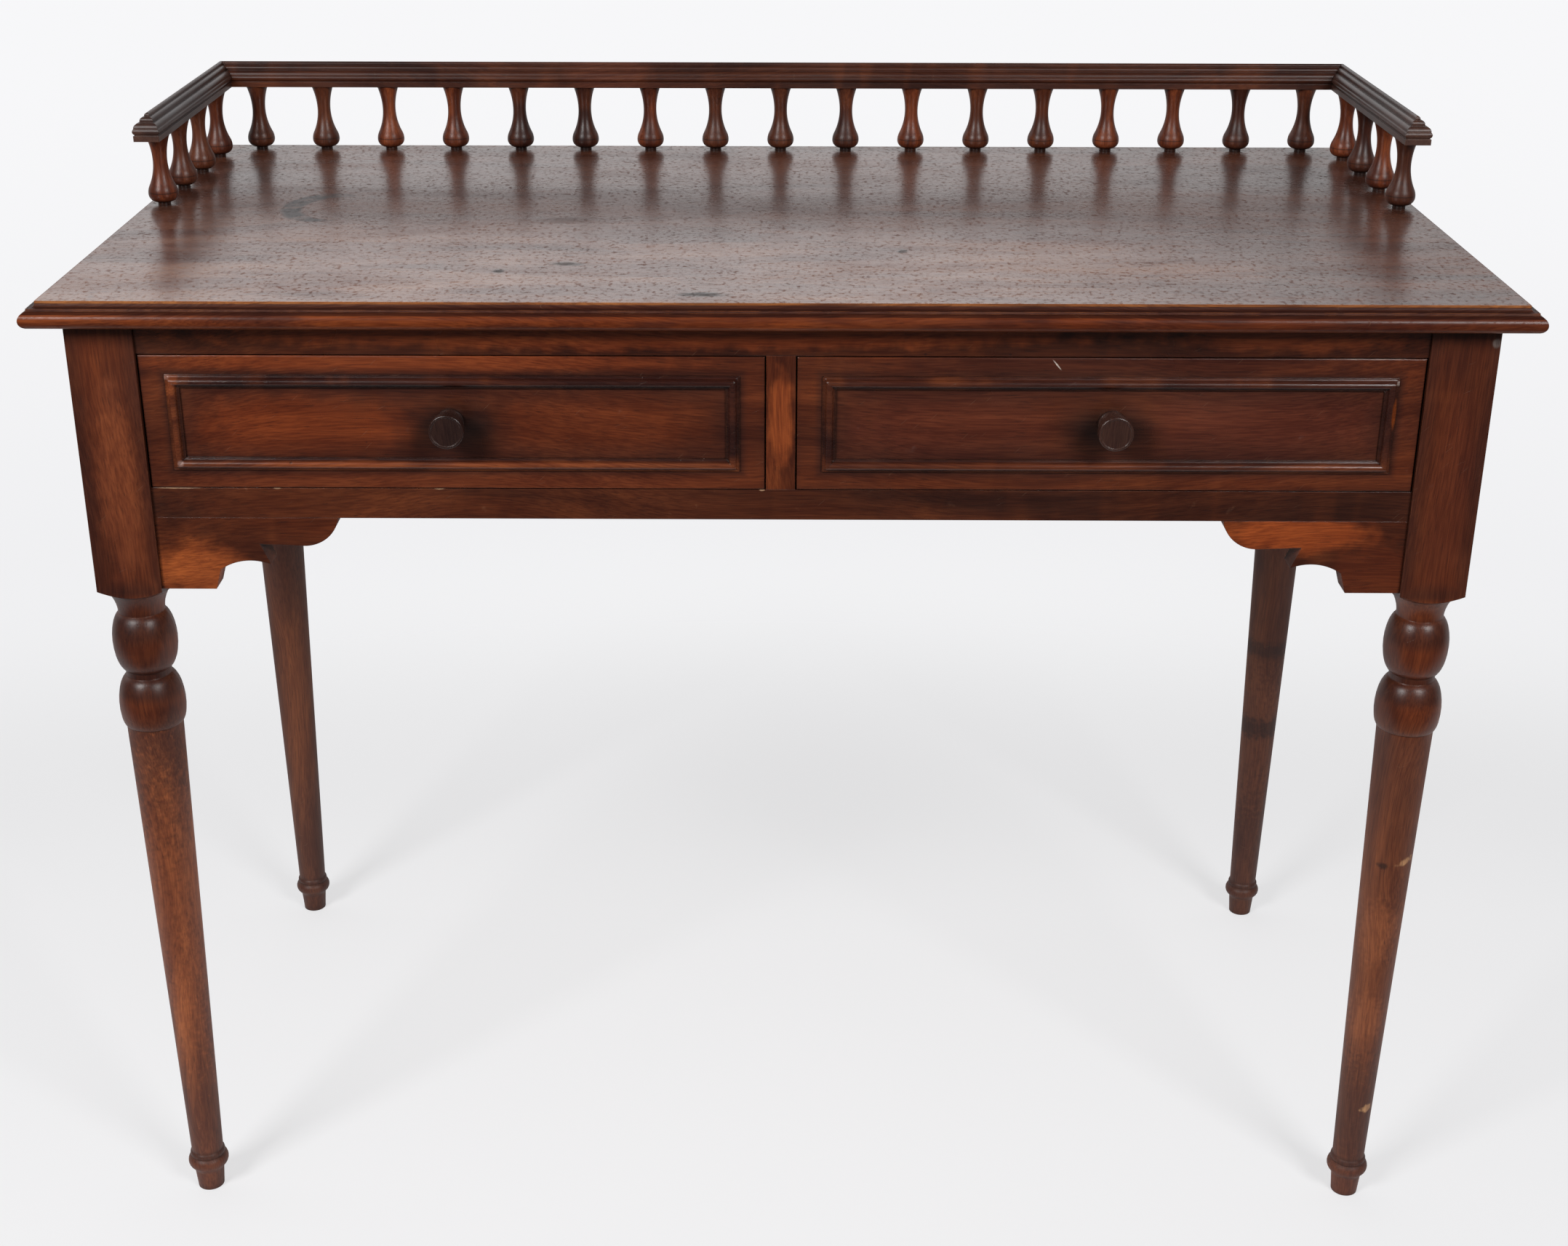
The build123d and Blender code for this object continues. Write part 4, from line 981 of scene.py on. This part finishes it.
paper = bpy.data.materials.new("pale_paper")
paper.use_nodes = True
tree = paper.node_tree
tree.nodes.clear()
place = put(tree, "TexCoord").outputs["Object"]
middle = spot(tree, place, (0.0, -0.10, 0.0), (2.2, 1.6, 1.0))
tint = noise(tree, place, 3.0, 4.0)
paper_tone = lay(tree, tint, tone(0.86, 0.86, 0.87), tone(0.89, 0.89, 0.90))
matt = put(tree, "BsdfDiffuse", {"Color": paper_tone})
own = put(tree, "Emission", {"Color": tone(0.95, 0.95, 0.96)})
depth = parts_of(tree, place)[1]
white = plus(tree, mask(tree, depth, 0.25, 1.30, 0.36), 0.60)
white = times(tree, seen_directly(tree), white)
face = put(tree, "MixShader", {0: white, 1: matt.outputs[0], 2: own.outputs[0]})
clear = put(tree, "BsdfTransparent")
laid = times(tree, mask(tree, middle, 0.05, 0.50), mask(tree, depth, -0.62, -0.40))
blend = put(tree, "MixShader", {0: laid, 1: clear.outputs[0], 2: face.outputs[0]})
tree.links.new(blend.outputs[0], put(tree, "OutputMaterial").inputs[0])
floor.data.materials.append(paper)
print("floor", tuple(round(side, 2) for side in floor.dimensions))

# %% Backdrop light
world = bpy.data.worlds.new("studio")
world.use_nodes = True
bpy.context.scene.world = world
tree = world.node_tree
tree.nodes.clear()
right, back, up = parts_of(tree, put(tree, "TexCoord").outputs["Generated"])[:3]
hung = times(tree, mask(tree, back, 0.0, 0.30), mask(tree, up, 0.85, 0.55))
sheet = lay(tree, mask(tree, right, -0.02, -0.34), tone(1.22, 1.21, 1.22), tone(1.13, 1.12, 1.13))
sheet = lay(tree, mask(tree, right, 0.02, 0.30), sheet, tone(0.68, 0.70, 0.71))
sheet = lay(tree, mask(tree, up, 0.275, 0.205, 0.92), sheet, tone(0.46, 0.44, 0.44))
room = lay(tree, hung, tone(0.08, 0.08, 0.082), sheet)
low, high = tone(0.86, 0.86, 0.875), tone(0.93, 0.93, 0.945)
backdrop = lay(tree, mask(tree, up, -0.42, -0.15), low, high)
shown = lay(tree, seen_directly(tree), room, backdrop)
sky = put(tree, "Background", {"Color": shown, "Strength": 1.0})
tree.links.new(sky.outputs[0], put(tree, "OutputWorld").inputs[0])
print("world ready")

# %% Soft boxes
soft_boxes = (((-1.6, -2.0, 2.05), 52.0), ((1.45, -2.15, 2.05), 43.0))
table_middle = Vector((0.0, 0.0, 0.5))

for hung_at, power in soft_boxes:
    lamp = bpy.data.lights.new("soft_box", "AREA")
    lamp.shape = "SQUARE"
    lamp.size = 0.9
    lamp.energy = power
    holder = bpy.data.objects.new("soft_box", lamp)
    bpy.context.scene.collection.objects.link(holder)
    holder.location = hung_at
    aim = table_middle - holder.location
    holder.rotation_euler = aim.to_track_quat("-Z", "Y").to_euler()
print(len(soft_boxes), "soft boxes")
